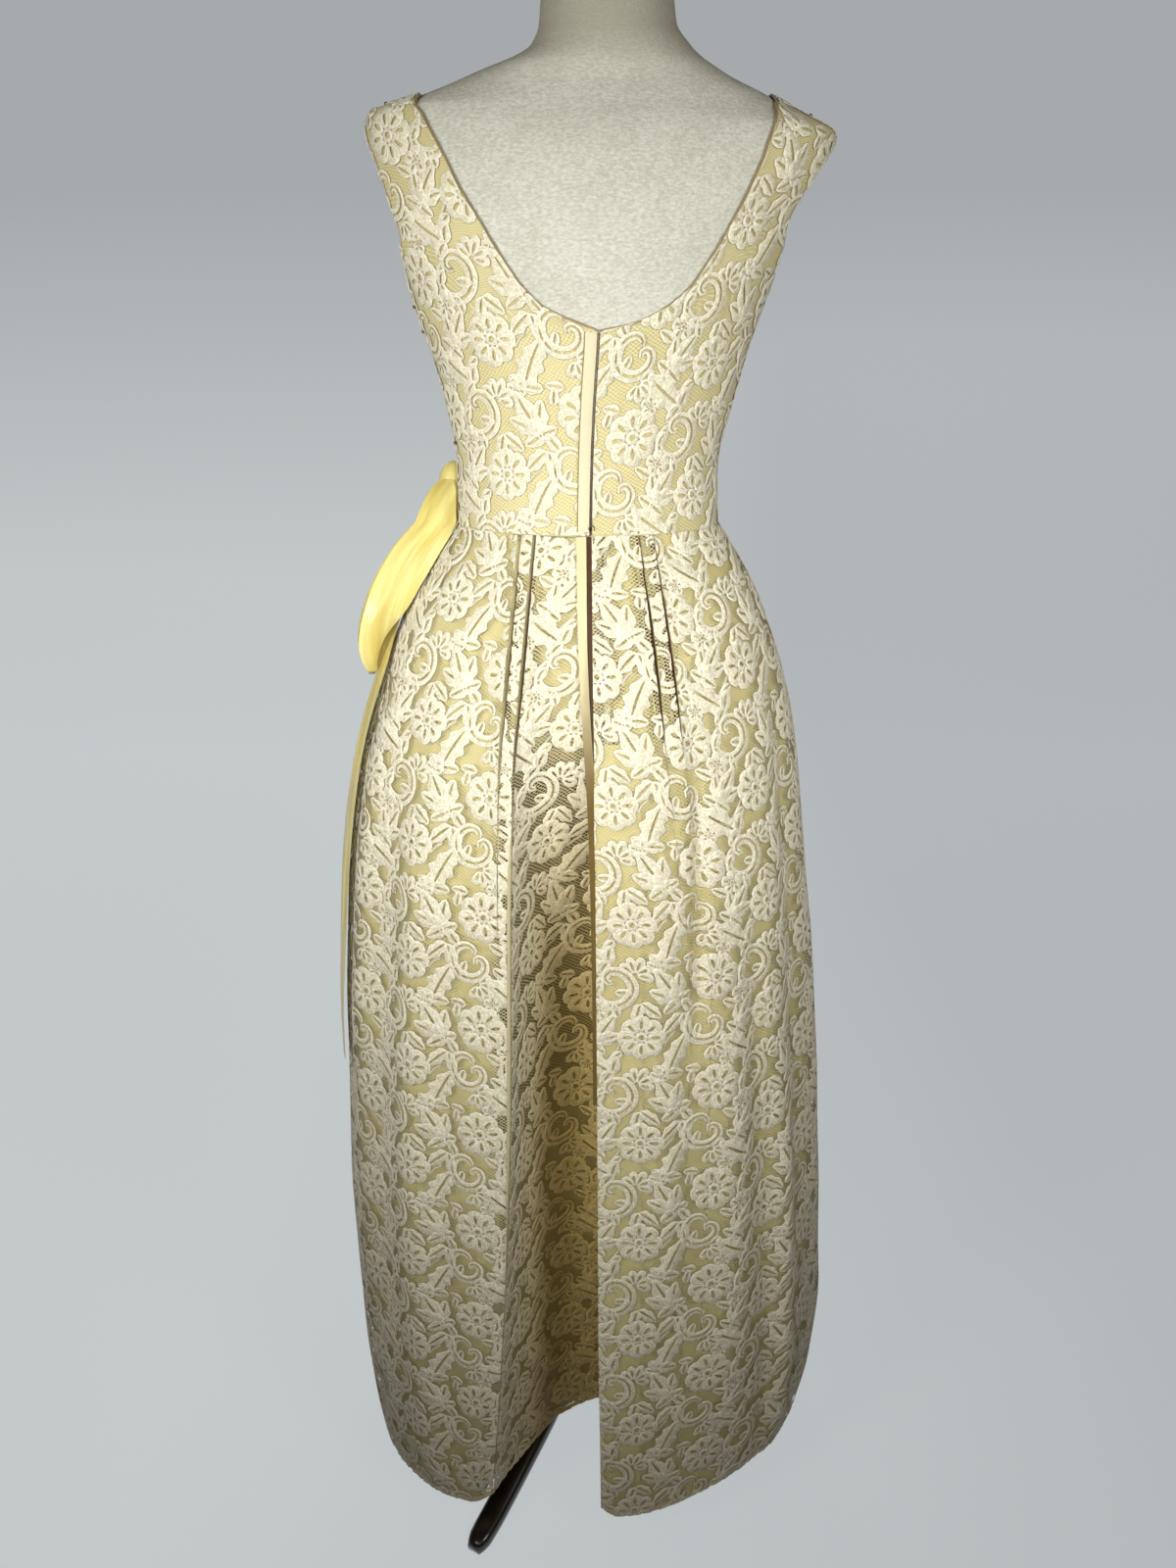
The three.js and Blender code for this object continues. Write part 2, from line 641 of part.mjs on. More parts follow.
// Behind the fold's bed the lining goes in with the lace, and stands off it where the fold is deep.
const liningStandOff = table("z extra", [
  [62, 0],
  [260, 3],
  [430, 14],
  [620, 22],
  [760, 14],
  [860, 0],
  [1013, 0],
]);
function liningDent(fold, x) {
  const start = fold.leftEdge + LINING_FOLD_SHIFT;
  const depth = fold.depth + liningStandOff(fold.z).extra;
  if (x > 0) return depth * turnIn((start - x) / start);
  return depth * (1 - smooth((fold.rightEdge - LINING_RIGHT_START - x) / LINING_RIGHT_RUN));
}

function liningBackRow(row) {
  const z = LINING_HEM_Z + row;
  const ring = skirtSections(z);
  const fold = backFold(z);
  const start = fold.leftEdge + LINING_FOLD_SHIFT;
  const right = fold.rightEdge - LINING_RIGHT_START;
  const bed = [1, 0.94, 0.84, 0.68, 0.45, 0.2, 0].map((share) => start * share);
  const climb = [0, 0.3, 0.6, 1].map((share) => right - LINING_RIGHT_RUN * share);
  const leftEnd = angleAtX(ring, start + LINING_MARGIN);
  const left = [...spread(SEAM_ANGLE, leftEnd, 6), leftEnd];
  const far = spread(angleAtX(ring, right - LINING_RIGHT_RUN - LINING_MARGIN), Math.PI - SEAM_ANGLE, 6);
  const angles = [...left.slice(1), ...[...bed, ...climb].map((x) => angleAtX(ring, x)), ...far];
  const middle = angles.map((angle) => {
    const p = ringPoint(ring, angle, -liningInset(z));
    const dent = p.x > start || p.x < right - LINING_RIGHT_RUN ? 0 : liningDent(fold, p.x);
    p.y -= dent;
    return shapeHem(p, row, (dent / fold.depth) * LINING_BED_RISE);
  });
  const seam = (angle) => shapeHem(seamPoint(skirtSections, z, angle, -liningInset(z)), row);
  return [seam(SEAM_ANGLE), ...middle, seam(Math.PI - SEAM_ANGLE)];
}
add("skirt_lining_back", wall(transpose(LINING_ROWS.map(liningBackRow)), SATIN, { level: true }), "satin");
const LINING_FRONT_STEPS = 15;
function liningFrontRow(row) {
  const z = LINING_HEM_Z + row;
  return range(LINING_FRONT_STEPS + 1).map((i) => {
    const angle = mix(-Math.PI + SEAM_ANGLE, -SEAM_ANGLE, i / LINING_FRONT_STEPS);
    return shapeHem(seamPoint(skirtSections, z, angle, -liningInset(z)), row);
  });
}
add("skirt_lining_front", wall(transpose(LINING_ROWS.map(liningFrontRow)), SATIN, { level: true }), "satin");

// ---------------------------------------------------------------- bow at the left hip
const gownSections = (z) => (z > WAIST_Z ? bodySections(z) : skirtSections(z));

// The cloth's outer face with a clearance, as one body: what the bow's pieces are kept off.
function clothEnvelope(out) {
  const heights = [460, 560, 660, 740, 800, 850, 890, 925, 950, 975, 1000, 1013.5, 1040, 1075, 1110, 1150];
  const around = range(72).map((i) => (2 * Math.PI * i) / 72);
  return loft(heights.map((z) => around.map((angle) => ringPoint(gownSections(z), angle, out))));
}
const sideAt = (z, angle, out) => ringPoint(gownSections(z), angle, out);

const KNOT = { z: 1046, angle: -15 * DEG, out: 11, halfHeight: 19, halfWidth: 17, halfDepth: 14 };
function knotShape(grow) {
  const centre = sideAt(KNOT.z, KNOT.angle, KNOT.out);
  const sphere = new THREE.SphereGeometry(1, 18, 10);
  sphere.scale(KNOT.halfDepth + grow, KNOT.halfWidth + grow, KNOT.halfHeight + grow);
  sphere.rotateZ(KNOT.angle);
  sphere.translate(centre.x, centre.y, centre.z);
  return sphere;
}
const keepOff = clothEnvelope(SEAM + 0.5);
add("bow_knot", subtract(knotShape(0), keepOff), "ribbon");

// A loop runs out from the knot to its tip and back. radial is how far its middle stands off the cloth,
// half its half-width across, gap half the distance between its two layers.
const loopPath = table("share z radial half gap turn", [
  [0, 1050, 15, 6, 3, 0],
  [0.2, 1022, 23, 15, 8, 0.25],
  [0.4, 988, 23, 20, 12, 0.55],
  [0.6, 951, 20, 18, 14, 0.8],
  [0.8, 919, 16, 14, 11, 0.95],
  [0.93, 903, 13, 9, 6, 1],
  [1, 896, 12, 7, 1.8, 1],
]);
const LOOP_STEPS = 10; // from the knot to the tip

function loopShape(startAngle, endAngle) {
  const across = [1, 0.5, 0, -0.5, -1];
  const grid = across.map((w) =>
    range(2 * LOOP_STEPS + 1).map((k) => {
      const share = 1 - Math.abs(k / LOOP_STEPS - 1);
      const layer = Math.sign(LOOP_STEPS - k);
      const at = loopPath(share);
      const angle = mix(startAngle, endAngle, at.turn);
      const p = sideAt(at.z, angle, at.radial + w * at.half);
      const bulge = at.gap * (1 - 0.25 * w * w);
      const sideways = new THREE.Vector3(-Math.sin(angle), Math.cos(angle), 0);
      return p.addScaledVector(sideways, layer * bulge).add(new THREE.Vector3(0, 0, layer ? 0 : -2));
    }),
  );
  return wall(grid, RIBBON);
}
const knotClear = knotShape(SEAM);
add("bow_loop_back", subtract(loopShape(-6.5 * DEG, 8 * DEG), keepOff, knotClear), "ribbon");
add("bow_loop_front", subtract(loopShape(-32 * DEG, -48 * DEG), keepOff, knotClear), "ribbon");

// A tail hangs from the knot down the skirt's side, with its back edge standing off the cloth.
// It turns and narrows towards the knot over the upper shares of its length.
const TAIL = {
  rows: 11,
  topZ: KNOT.z - 6,
  turnFrom: 0.45,
  narrowFrom: 0.7,
  narrow: 0.3, // its width at the knot, as a share of the full width
  off: 2.2, // the cloth's face to the ribbon's outer face, at the least
  wave: 1.2,
};
function tailShape({ endZ, startAngle, endAngle, standOff, halfWidth }) {
  const across = [-1, -0.5, 0, 0.5, 1];
  const grid = across.map((w) =>
    range(TAIL.rows + 1).map((j) => {
      const t = j / TAIL.rows;
      const z = mix(endZ, TAIL.topZ, t);
      const angle = mix(endAngle, startAngle, smooth((t - TAIL.turnFrom) / (1 - TAIL.turnFrom)));
      const narrowing = smooth((t - TAIL.narrowFrom) / (1 - TAIL.narrowFrom));
      const width = halfWidth * mix(1, TAIL.narrow, narrowing);
      const lifted = standOff * (0.5 + 0.5 * w) * (1 - 0.75 * t);
      const rippled = TAIL.wave * (1 + Math.sin(9 * t + w));
      const out = TAIL.off + lifted + rippled + 2 * t;
      return sideAt(z, angle + (w * width) / gownSections(z).left, out);
    }),
  );
  return wall(grid, RIBBON);
}
const backTail = { endZ: 494, startAngle: -13 * DEG, endAngle: -3 * DEG, standOff: 5, halfWidth: 28 };
const frontTail = { endZ: 470, startAngle: -24 * DEG, endAngle: -35 * DEG, standOff: 3, halfWidth: 28 };
add("bow_tail_back", subtract(tailShape(backTail), keepOff, knotClear), "ribbon");
add("bow_tail_front", subtract(tailShape(frontTail), keepOff, knotClear), "ribbon");

// ---------------------------------------------------------------- dress form
const FORM_SIDES = 32;
const FORM_BASE_Z = 770;
const NECK_TOP_Z = 1440;
const FORM_ROWS = [
  FORM_BASE_Z, 784, 806, 840, 890, 940, 980, 1013, 1050, 1085, 1116, 1150, 1187, 1220, 1254, 1280, 1300,
  1314, 1326, 1336, 1344, 1351, 1358, 1368, 1380, 1398, NECK_TOP_Z,
];
const HIP_TOP_Z = 1116; // above it the form follows the cloth
const FORM_INSET = 6; // cloth face to the form's own face
const SHOULDER_DROP = 4.2; // the form's shoulders lie this much below the cloth's
const SHOULDER_Z = [1290, 1320, 1350, 1370]; // where that drop comes in and goes out again
function formRing(z) {
  const shoulder = smooth((z - SHOULDER_Z[0]) / (SHOULDER_Z[1] - SHOULDER_Z[0]));
  const bare = smooth((z - SHOULDER_Z[2]) / (SHOULDER_Z[3] - SHOULDER_Z[2]));
  const isHip = z < HIP_TOP_Z;
  const ring = isHip ? hipSections(z) : { ...bodySections(z + SHOULDER_DROP * shoulder * (1 - bare)), z };
  const out = isHip ? 0 : -FORM_INSET * (1 - bare);
  return range(FORM_SIDES).map((i) => {
    const p = ringPoint(ring, (2 * Math.PI * i) / FORM_SIDES, out);
    p.x = ring.centre + clamp(p.x - ring.centre, -ARM_PLATE_X, ARM_PLATE_X);
    return p;
  });
}
add("form_torso", loft(FORM_ROWS.map(formRing)), "linen");

// A turned piece about +Z, from a profile of radius and height.
function lathe(profile, segments) {
  const points = profile.map(([r, z]) => new THREE.Vector2(r, z));
  return new THREE.LatheGeometry(points, segments).rotateX(Math.PI / 2);
}
const HUB_SIDES = 24;
const neck = bodySections(NECK_TOP_Z);
const neckCap = lathe([[0, 0], [44, 0], [47, 3], [46, 8], [30, 14], [0, 18]], HUB_SIDES);
neckCap.translate(neck.centre, 0, NECK_TOP_Z + SEAM);
add("form_neck_cap", neckCap, "darkWood");

// ---------------------------------------------------------------- tripod stand
const HUB_TOP_Z = 160;
const pole = new THREE.CylinderGeometry(POLE_R, POLE_R, FORM_BASE_Z - HUB_TOP_Z - 2 * SEAM, 24);
pole.rotateX(Math.PI / 2).translate(0, 0, (FORM_BASE_Z + HUB_TOP_Z) / 2);
add("stand_pole", pole, "darkWood");

const hubProfile = [
  [0, 62], [12, 62], [18, 70], [16, 80], [26, 90], [30, 104], [30, 124],
  [24, 136], [17, 142], [21, 150], [19, 158], [16, HUB_TOP_Z], [0, HUB_TOP_Z],
];
add("stand_hub", lathe(hubProfile, HUB_SIDES), "darkWood");
const hubClear = lathe(hubProfile.map(([r, z]) => [r ? r + SEAM : 0, z]), HUB_SIDES);

// Each leg drops quickly from the hub, then runs out low to a flat foot.
const legPath = table("share r z half thick", [
  [0, 20, 112, 12, 11],
  [0.12, 40, 108, 13, 12],
  [0.24, 58, 88, 13, 12],
  [0.36, 72, 68, 13, 11.5],
  [0.48, 90, 52, 13, 11],
  [0.6, 116, 41, 13, 10.5],
  [0.74, 152, 29, 13, 10],
  [0.88, 200, 14, 13, 9.5],
  [0.96, 226, 7.5, 12, 9.5],
  [1, FOOT_R, 4.5, 7, 6.5],
]);
const LEG_STEPS = 12;
const LEG_SIDES = 10;
function legShape(degrees) {
  const outward = new THREE.Vector3(Math.cos(degrees * DEG), Math.sin(degrees * DEG), 0);
  const sideways = new THREE.Vector3(-outward.y, outward.x, 0);
  const up = new THREE.Vector3(0, 0, 1);
  const centreAt = (share) => {
    const at = legPath(clamp(share, 0, 1));
    return outward.clone().multiplyScalar(at.r).addScaledVector(up, at.z);
  };
  const path = range(LEG_STEPS + 1).map((k) => {
    const share = k / LEG_STEPS;
    const at = legPath(share);
    const along = centreAt(share + 0.02).sub(centreAt(share - 0.02)).normalize();
    return {
      centre: centreAt(share),
      across: sideways.clone().multiplyScalar(at.half),
      up: sideways.clone().cross(along).normalize().multiplyScalar(-at.thick),
    };
  });
  return sweep(path, LEG_SIDES);
}
const floorBlock = new THREE.BoxGeometry(800, 800, 60).translate(0, 0, -30);
LEG_ANGLES.forEach((degrees, i) =>
  add("stand_leg_" + (i + 1), subtract(legShape(degrees), hubClear, floorBlock), "darkWood"),
);

export default gown;
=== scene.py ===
"""A sleeveless floor-length gown in corded floral lace over yellow satin, worn by a linen dress form.

Surfaces are worked out in millimetres from tables of sections, in the frame of the solids, and made in
metres. The lace is a real mesh: charted motifs, with raised cords, are laid on each panel by its length
along the cloth.
"""

import math

import bpy
import numpy as np
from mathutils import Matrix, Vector


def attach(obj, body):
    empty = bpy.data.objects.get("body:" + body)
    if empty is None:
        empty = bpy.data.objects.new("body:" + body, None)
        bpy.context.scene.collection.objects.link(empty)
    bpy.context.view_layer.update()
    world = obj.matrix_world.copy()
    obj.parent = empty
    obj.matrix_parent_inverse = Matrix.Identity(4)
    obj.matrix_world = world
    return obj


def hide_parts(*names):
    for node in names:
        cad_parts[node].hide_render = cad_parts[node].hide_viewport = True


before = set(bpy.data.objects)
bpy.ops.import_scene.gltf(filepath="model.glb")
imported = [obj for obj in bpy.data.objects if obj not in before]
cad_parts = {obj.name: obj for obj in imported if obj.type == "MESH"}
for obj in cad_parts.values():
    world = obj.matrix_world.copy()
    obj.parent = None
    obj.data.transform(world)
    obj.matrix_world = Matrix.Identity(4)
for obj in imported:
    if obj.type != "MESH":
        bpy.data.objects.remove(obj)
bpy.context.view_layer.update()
BODY = "root"
MM = 0.001

# ---------------------------------------------------------------- driving dimensions, millimetres
WAIST_Z = 1013.0
HEM_Z = 46.0
HEM_TILT = 0.115
LINING_HEM_Z = 46.8
UNDERARM_Z = 1200.0
SHOULDER_TIP_Z = 1334.0
SHOULDER_SEAM_Z = 1348.0
SHOULDER_DROP_RIGHT = 12.0
SEAM = 0.3
BACK_OPENING = 2.4
FORM_INSET = 2.6
FORM_BASE_Z = 770.0
NECK_TOP_Z = 1440.0
HUB_TOP_Z = 160.0
FOOT_R = 238.0
LEG_ANGLES = (60.5, 180.5, 300.5)


# ---------------------------------------------------------------- tables and interpolation
class Table:
    """Sections with named columns, read at any place on a smooth curve without overshoot."""

    def __init__(self, names, rows):
        self.names = names.split()[1:]
        data = np.array(rows, float)
        self.x, self.y = data[:, 0], data[:, 1:]
        slope = np.diff(self.y, axis=0) / np.diff(self.x)[:, None]
        a, b = slope[:-1], slope[1:]
        safe = np.where(a + b == 0, 1.0, a + b)
        inner = np.where(a * b <= 0, 0.0, 2 * a * b / safe)
        self.tangent = np.concatenate([slope[:1], inner, slope[-1:]])

    def __call__(self, x):
        x = np.clip(np.asarray(x, float), self.x[0], self.x[-1])
        i = np.clip(np.searchsorted(self.x, x, side="right") - 1, 0, len(self.x) - 2)
        h = self.x[i + 1] - self.x[i]
        t = (x - self.x[i]) / h
        t2, t3 = t * t, t * t * t
        w = [2 * t3 - 3 * t2 + 1, (t3 - 2 * t2 + t) * h, 3 * t2 - 2 * t3, (t3 - t2) * h]
        parts = (self.y[i], self.tangent[i], self.y[i + 1], self.tangent[i + 1])
        value = sum(wk[..., None] * part for wk, part in zip(w, parts))
        return {name: value[..., k] for k, name in enumerate(self.names)}


# Outer face of the bodice and of the body above it.
body_sections = Table("z centre left right back front", [
    (1013, -2, 116, 113, 84, 98),
    (1066, -3, 117, 110, 86, 100),
    (1116, -5, 127, 119, 93, 110),
    (1163, -8, 142.5, 128.5, 101, 123),
    (1187, -9, 152.5, 135.5, 105, 127),
    (1210, -10, 160, 143, 108, 126),
    (1232, -10.5, 169, 153, 108, 120),
    (1254, -11, 176, 160, 106, 111),
    (1276, -11, 184, 172, 101, 102),
    (1298, -11.5, 188, 182, 93, 92),
    (1319, -12, 191, 187, 82, 80),
    (1334, -12, 188, 160, 72, 70),
    (1344, -12.5, 159.5, 140.5, 66, 64),
    (1349, -12.5, 145, 131, 63, 60),
    (1362, -13, 106, 98, 58, 55),
    (1372, -14, 75.5, 78, 55, 52),
    (1381, -14.5, 60.5, 67, 53, 51),
    (1397, -14.5, 53, 55, 51, 50),
    (1440, -14.5, 50, 50, 49, 51),
])
# The form below the bust.
hip_sections = Table("z centre left right back front", [
    (770, -3, 112, 112, 80, 80),
    (786, -3, 132, 130, 96, 94),
    (830, -3, 145, 142, 106, 104),
    (890, -3, 140, 136, 102, 104),
    (950, -3, 114, 112, 80, 92),
    (1013, -2, 99, 97, 68, 82),
    (1066, -3, 108, 101, 78, 91),
    (1116, -5, 123, 115, 89, 106),
])
# Outer face of the skirt.
skirt_sections = Table("z centre left right back front squareness", [
    (46, -9, 246, 232, 197, 199, 2.3),
    (98, -9, 253, 241, 198, 200, 2.3),
    (182, -9, 258.5, 242, 198, 200, 2.3),
    (263, -8, 259, 238, 196, 199, 2.3),
    (340, -7, 259, 235, 194, 197, 2.3),
    (415, -6, 256, 230, 191, 195, 2.3),
    (486, -6, 253, 225, 188, 192, 2.25),
    (554, -5, 249, 219, 184, 188, 2.25),
    (620, -5, 244, 213, 179, 184, 2.2),
    (712, -4, 234, 204, 172, 177, 2.2),
    (771, -4, 225, 197, 164, 170, 2.15),
    (828, -3, 210.5, 189.5, 155, 160, 2.1),
    (883, -3, 191, 176, 142, 147, 2.1),
    (937, -3, 168, 156.5, 124, 130, 2.1),
    (964, -2, 151, 145, 112, 120, 2.05),
    (990, -2, 133, 129.5, 98, 109, 2),
    (1003, -2, 123, 121.5, 90, 102, 2),
    (1013, -2, 117, 114, 85, 99, 2),
])
# The open fold at the centre back.
back_fold = Table("z left_edge right_edge depth", [
    (46, 98, -13, 108),
    (120, 92, -12, 106),
    (245, 83, -10, 100),
    (400, 74, -9, 92),
    (532, 69, -8, 82),
    (640, 67, -7, 68),
    (740, 65, -6, 46),
    (790, 63, -5, 30),
    (835, 61, -5, 18),
    (900, 55, -4, 11),
    (1013, 44, -3, 8),
])
lining_stand_off = Table("z extra", [
    (46, 2.5), (260, 4), (430, 14), (620, 22), (760, 14), (860, 0), (1013, 0),
])
back_neck_left = Table("share angle z", [
    (0, 90, 1171), (0.12, 84, 1176.5), (0.25, 73, 1189), (0.38, 66.5, 1206), (0.5, 61.2, 1231),
    (0.62, 55.6, 1261), (0.75, 50.9, 1290), (0.86, 45.3, 1318), (0.905, 41.5, 1331),
    (0.945, 31, 1341.5), (0.975, 19, 1346), (1, 0, SHOULDER_SEAM_Z),
])
back_neck_right = Table("share angle z", [
    (0, 90, 1171), (0.12, 78.5, 1176.5), (0.25, 67.2, 1189), (0.38, 59.5, 1206), (0.5, 54.5, 1231),
    (0.62, 49.6, 1261), (0.75, 47.8, 1290), (0.86, 46, 1318), (0.905, 37, 1331),
    (0.945, 22, 1341.5), (0.975, 14, 1346), (1, 0, SHOULDER_SEAM_Z),
])
front_neck = Table("share angle z", [
    (0, 90, 1256), (0.2, 76, 1258), (0.4, 64, 1267), (0.55, 56, 1283),
    (0.7, 50, 1303), (0.84, 42.5, 1322), (0.9, 39.8, 1331.5), (0.94, 33.5, 1340.5),
    (0.975, 18, 1346), (1, 0, SHOULDER_SEAM_Z),
])
armhole = Table("share angle z", [
    (0, 0, UNDERARM_Z), (0.14, 8, 1207), (0.3, 17, 1226), (0.46, 22, 1250),
    (0.62, 22, 1276), (0.78, 17, 1300), (0.9, 9, 1319), (1, 0, SHOULDER_TIP_Z),
])
# Pressed pleats: x at the waist and at the end, the height of the ridge and the way its edge faces.
BACK_RIGHT_PLEATS = (
    {"top": -41, "end": -72, "height": 2, "faces": -1},
    {"top": -53, "end": -88, "height": 2, "faces": -1},
)
FRONT_PLEATS = (
    {"top": -56, "end": -90, "height": 5, "faces": -1},
    {"top": -43, "end": -74, "height": 6, "faces": -1},
    {"top": 43, "end": 74, "height": 6, "faces": 1},
    {"top": 56, "end": 90, "height": 5, "faces": 1},
)
PLEAT_END_Z = 780.0
PLEAT_FADE_Z = 640.0
PLEAT_FULL_Z = 900.0


def mix(a, b, t):
    return a + (b - a) * t


def smooth(t):
    s = np.clip(t, 0, 1)
    return s * s * (3 - 2 * s)


def power(x, p):
    return np.sign(x) * np.abs(x) ** p


def ring_point(ring, z, angle, out=0.0):
    """Points of a section at angles from the gown's left side, out from its face."""
    c, s = np.cos(angle), np.sin(angle)
    p = 2 / ring.get("squareness", 2.0)
    width = np.where(c > 0, ring["left"], ring["right"]) + out
    depth = np.where(s > 0, ring["back"], ring["front"]) + out
    x = ring["centre"] + width * power(c, p)
    y = depth * power(s, p)
    return np.stack(np.broadcast_arrays(x, y, z), -1).astype(float)


def angle_at_x(ring, x):
    """The angle at which a section reaches x, on its back half."""
    dx = x - ring["centre"]
    share = np.clip(np.abs(dx) / np.where(dx > 0, ring["left"], ring["right"]), 0, 1)
    c = share ** (ring.get("squareness", 2.0) / 2)
    return np.arccos(np.where(dx > 0, c, -c))


def gown_point(z, angle, out=0.0):
    """A point off the gown's side, on the bodice above the waist and on the skirt below it."""
    z = np.asarray(z, float)
    low = ring_point(skirt_sections(z), z, angle, out)
    high = ring_point(body_sections(z), z, angle, out)
    return np.where((z > WAIST_Z)[..., None], high, low)


def loop_angles(n):
    """Angles of n places all round."""
    return np.arange(n) * 2 * math.pi / n


def unit(vectors):
    """The vectors at length 1."""
    return vectors / np.linalg.norm(vectors, axis=-1, keepdims=True)


def lengths(points, axis):
    """Running length through points along one axis of their grid, in millimetres."""
    step = np.linalg.norm(np.diff(points, axis=axis), axis=-1)
    return np.insert(np.cumsum(step, axis=axis), 0, 0, axis=axis)


def surface_lengths(points):
    """Lengths across and up a grid, as places on the cloth."""
    return np.stack([lengths(points, 1), lengths(points, 0)], -1)


# ---------------------------------------------------------------- meshes
def make_object(name, mesh, material, smooth_faces=True):
    obj = bpy.data.objects.new(name, mesh)
    bpy.context.scene.collection.objects.link(obj)
    mesh.materials.append(material)
    mesh.polygons.foreach_set("use_smooth", [smooth_faces] * len(mesh.polygons))
    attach(obj, BODY)
    return obj


def mesh_piece(name, points, faces, material, uv=None, values=None, smooth_faces=True):
    """An object from points in millimetres. uv and values hold one entry for each point."""
    mesh = bpy.data.meshes.new(name)
    mesh.from_pydata((np.reshape(points, (-1, 3)) * MM).tolist(), [], np.asarray(faces).tolist())
    if uv is not None:
        corner = np.empty(len(mesh.loops), int)
        mesh.loops.foreach_get("vertex_index", corner)
        layer = mesh.uv_layers.new(name="cloth")
        layer.data.foreach_set("uv", np.reshape(uv, (-1, 2))[corner].ravel())
    for key, value in (values or {}).items():
        mesh.attributes.new(key, "FLOAT", "POINT").data.foreach_set("value", np.ravel(value))
    mesh.update()
    return make_object(name, mesh, material, smooth_faces)


def grid_faces(rows, columns, closed=False):
    """Quads of a grid, facing out where columns run counter-clockwise seen from above and rows climb."""
    i = np.arange(columns if closed else columns - 1)
    j = np.arange(rows - 1)[:, None]
    a = j * columns + i
    b = j * columns + (i + 1) % columns
    return np.stack([a, b, b + columns, a + columns], -1).reshape(-1, 4)


def sheet_piece(name, points, material, uv=None, values=None):
    return mesh_piece(name, points, grid_faces(*points.shape[:2]), material, uv, values)


def loft_piece(name, rings, material):
    """A closed body through rings of points, with flat ends."""
    rows, n = rings.shape[:2]
    points = np.concatenate([rings.reshape(-1, 3), rings[:1].mean(1), rings[-1:].mean(1)])
    low, high, top = rows * n, rows * n + 1, (rows - 1) * n
    faces = grid_faces(rows, n, closed=True).tolist()
    faces += [[low, (i + 1) % n, i] for i in range(n)]
    faces += [[high, top + i, top + (i + 1) % n] for i in range(n)]
    return mesh_piece(name, points, np.array(faces, dtype=object), material)


UPWARDS = np.array([0.0, 0.0, 1.0])
BACKWARDS = np.array([0.0, 1.0, 0.0])
STEEP = 0.2  # a path whose unit tangent crosses UPWARDS by less than this is taken as upright
TUBE_SIDES = 8


def frames_along(path):
    """Two unit vectors at each point of a path that cross it and each other."""
    tangent = unit(np.gradient(path, axis=0))
    side = np.cross(tangent, UPWARDS)
    upright = np.linalg.norm(side, axis=1) < STEEP
    side[upright] = np.cross(tangent[upright], BACKWARDS)
    side = unit(side)
    return side, np.cross(side, tangent)


def tube_piece(name, path, radius, material):
    side, up = frames_along(path)
    a = loop_angles(TUBE_SIDES)
    ring = np.cos(a)[None, :, None] * side[:, None] + np.sin(a)[None, :, None] * up[:, None]
    return loft_piece(name, path[:, None] + ring * radius, material)


def grid_normals(points):
    normal = np.cross(np.gradient(points, axis=1), np.gradient(points, axis=0))
    return normal / np.maximum(np.linalg.norm(normal, axis=2, keepdims=True), 1e-9)


# ---------------------------------------------------------------- node materials
class Shader:
    """A material under construction: each call adds a node, whose inputs are values or other sockets."""

    def __init__(self, name):
        self.material = bpy.data.materials.new(name)
        self.material.use_nodes = True
        self.tree = self.material.node_tree
        self.tree.nodes.clear()

    def node(self, kind, inputs=(), output=0, **settings):
        made = self.tree.nodes.new("ShaderNode" + kind)
        for key, value in settings.items():
            setattr(made, key, value)
        for key, value in dict(inputs).items():
            socket = made.inputs[key]
            if isinstance(value, bpy.types.NodeSocket):
                self.tree.links.new(value, socket)
            else:
                socket.default_value = value
        return made.outputs[output]

    def math(self, operation, a, b=0.0):
        return self.node("Math", {0: a, 1: b}, operation=operation)

    def mix(self, factor, a, b, blend="MIX"):
        return self.node("Mix", {0: factor, 6: a, 7: b}, output=2, data_type="RGBA", blend_type=blend)

    def attribute(self, name):
        """A number that each point of the mesh carries."""
        return self.node("Attribute", output=2, attribute_name=name)

    def axis(self, vector, k):
        """One coordinate of a vector."""
        return self.node("SeparateXYZ", {0: vector}, output=k)

    def noise(self, vector, scale, detail=3.0, roughness=0.5):
        inputs = {"Vector": vector, "Scale": scale, "Detail": detail, "Roughness": roughness}
        return self.node("TexNoise", inputs)

    def ramp(self, value, low, high):
        inputs = {"Value": value, "From Min": low, "From Max": high}
        return self.node("MapRange", inputs, clamp=True)

    def scaled(self, vector, scale):
        return self.node("Mapping", {"Vector": vector, "Scale": scale})

    def place(self):
        """Where a point lies on the object, in metres."""
        return self.node("TexCoord", output=3)

    def cloth(self):
        """Where a point lies on the flat cloth, in millimetres."""
        return self.node("UVMap", uv_map="cloth")

    def satin_threads(self):
        return self.noise(self.scaled(self.place(), SATIN_THREADS), 1.0, 2.0)

    def bump(self, height, strength, distance):
        inputs = {"Height": height, "Strength": strength, "Distance": distance}
        return self.node("Bump", inputs)

    def principled(self, inputs):
        return self.node("BsdfPrincipled", inputs)

    def finish(self, surface):
        output = self.tree.nodes.new("ShaderNodeOutputMaterial")
        self.tree.links.new(surface, output.inputs["Surface"])
        return self.material


def rgb(red, green, blue):
    """A linear colour from 8-bit display values."""
    def linear(c):
        c /= 255
        return c / 12.92 if c <= 0.04045 else ((c + 0.055) / 1.055) ** 2.4
    return (linear(red), linear(green), linear(blue), 1.0)


SATIN_THREADS = (300.0, 300.0, 2600.0)
NET_PITCH = 3.1
NET_THREAD = 0.6
NET_SLANTS = (0.55, -0.85)
NET_WANDER = 3.0
NET_WANDER_SCALE = 0.12
HEM_COVER = 0.3  # the hem attribute falls from 1 at the hem to 0 one row above it
NECK_SHADE_HEIGHTS = (1.345, 1.385)  # metres above the floor, where the painted shade on the linen starts and where it is full
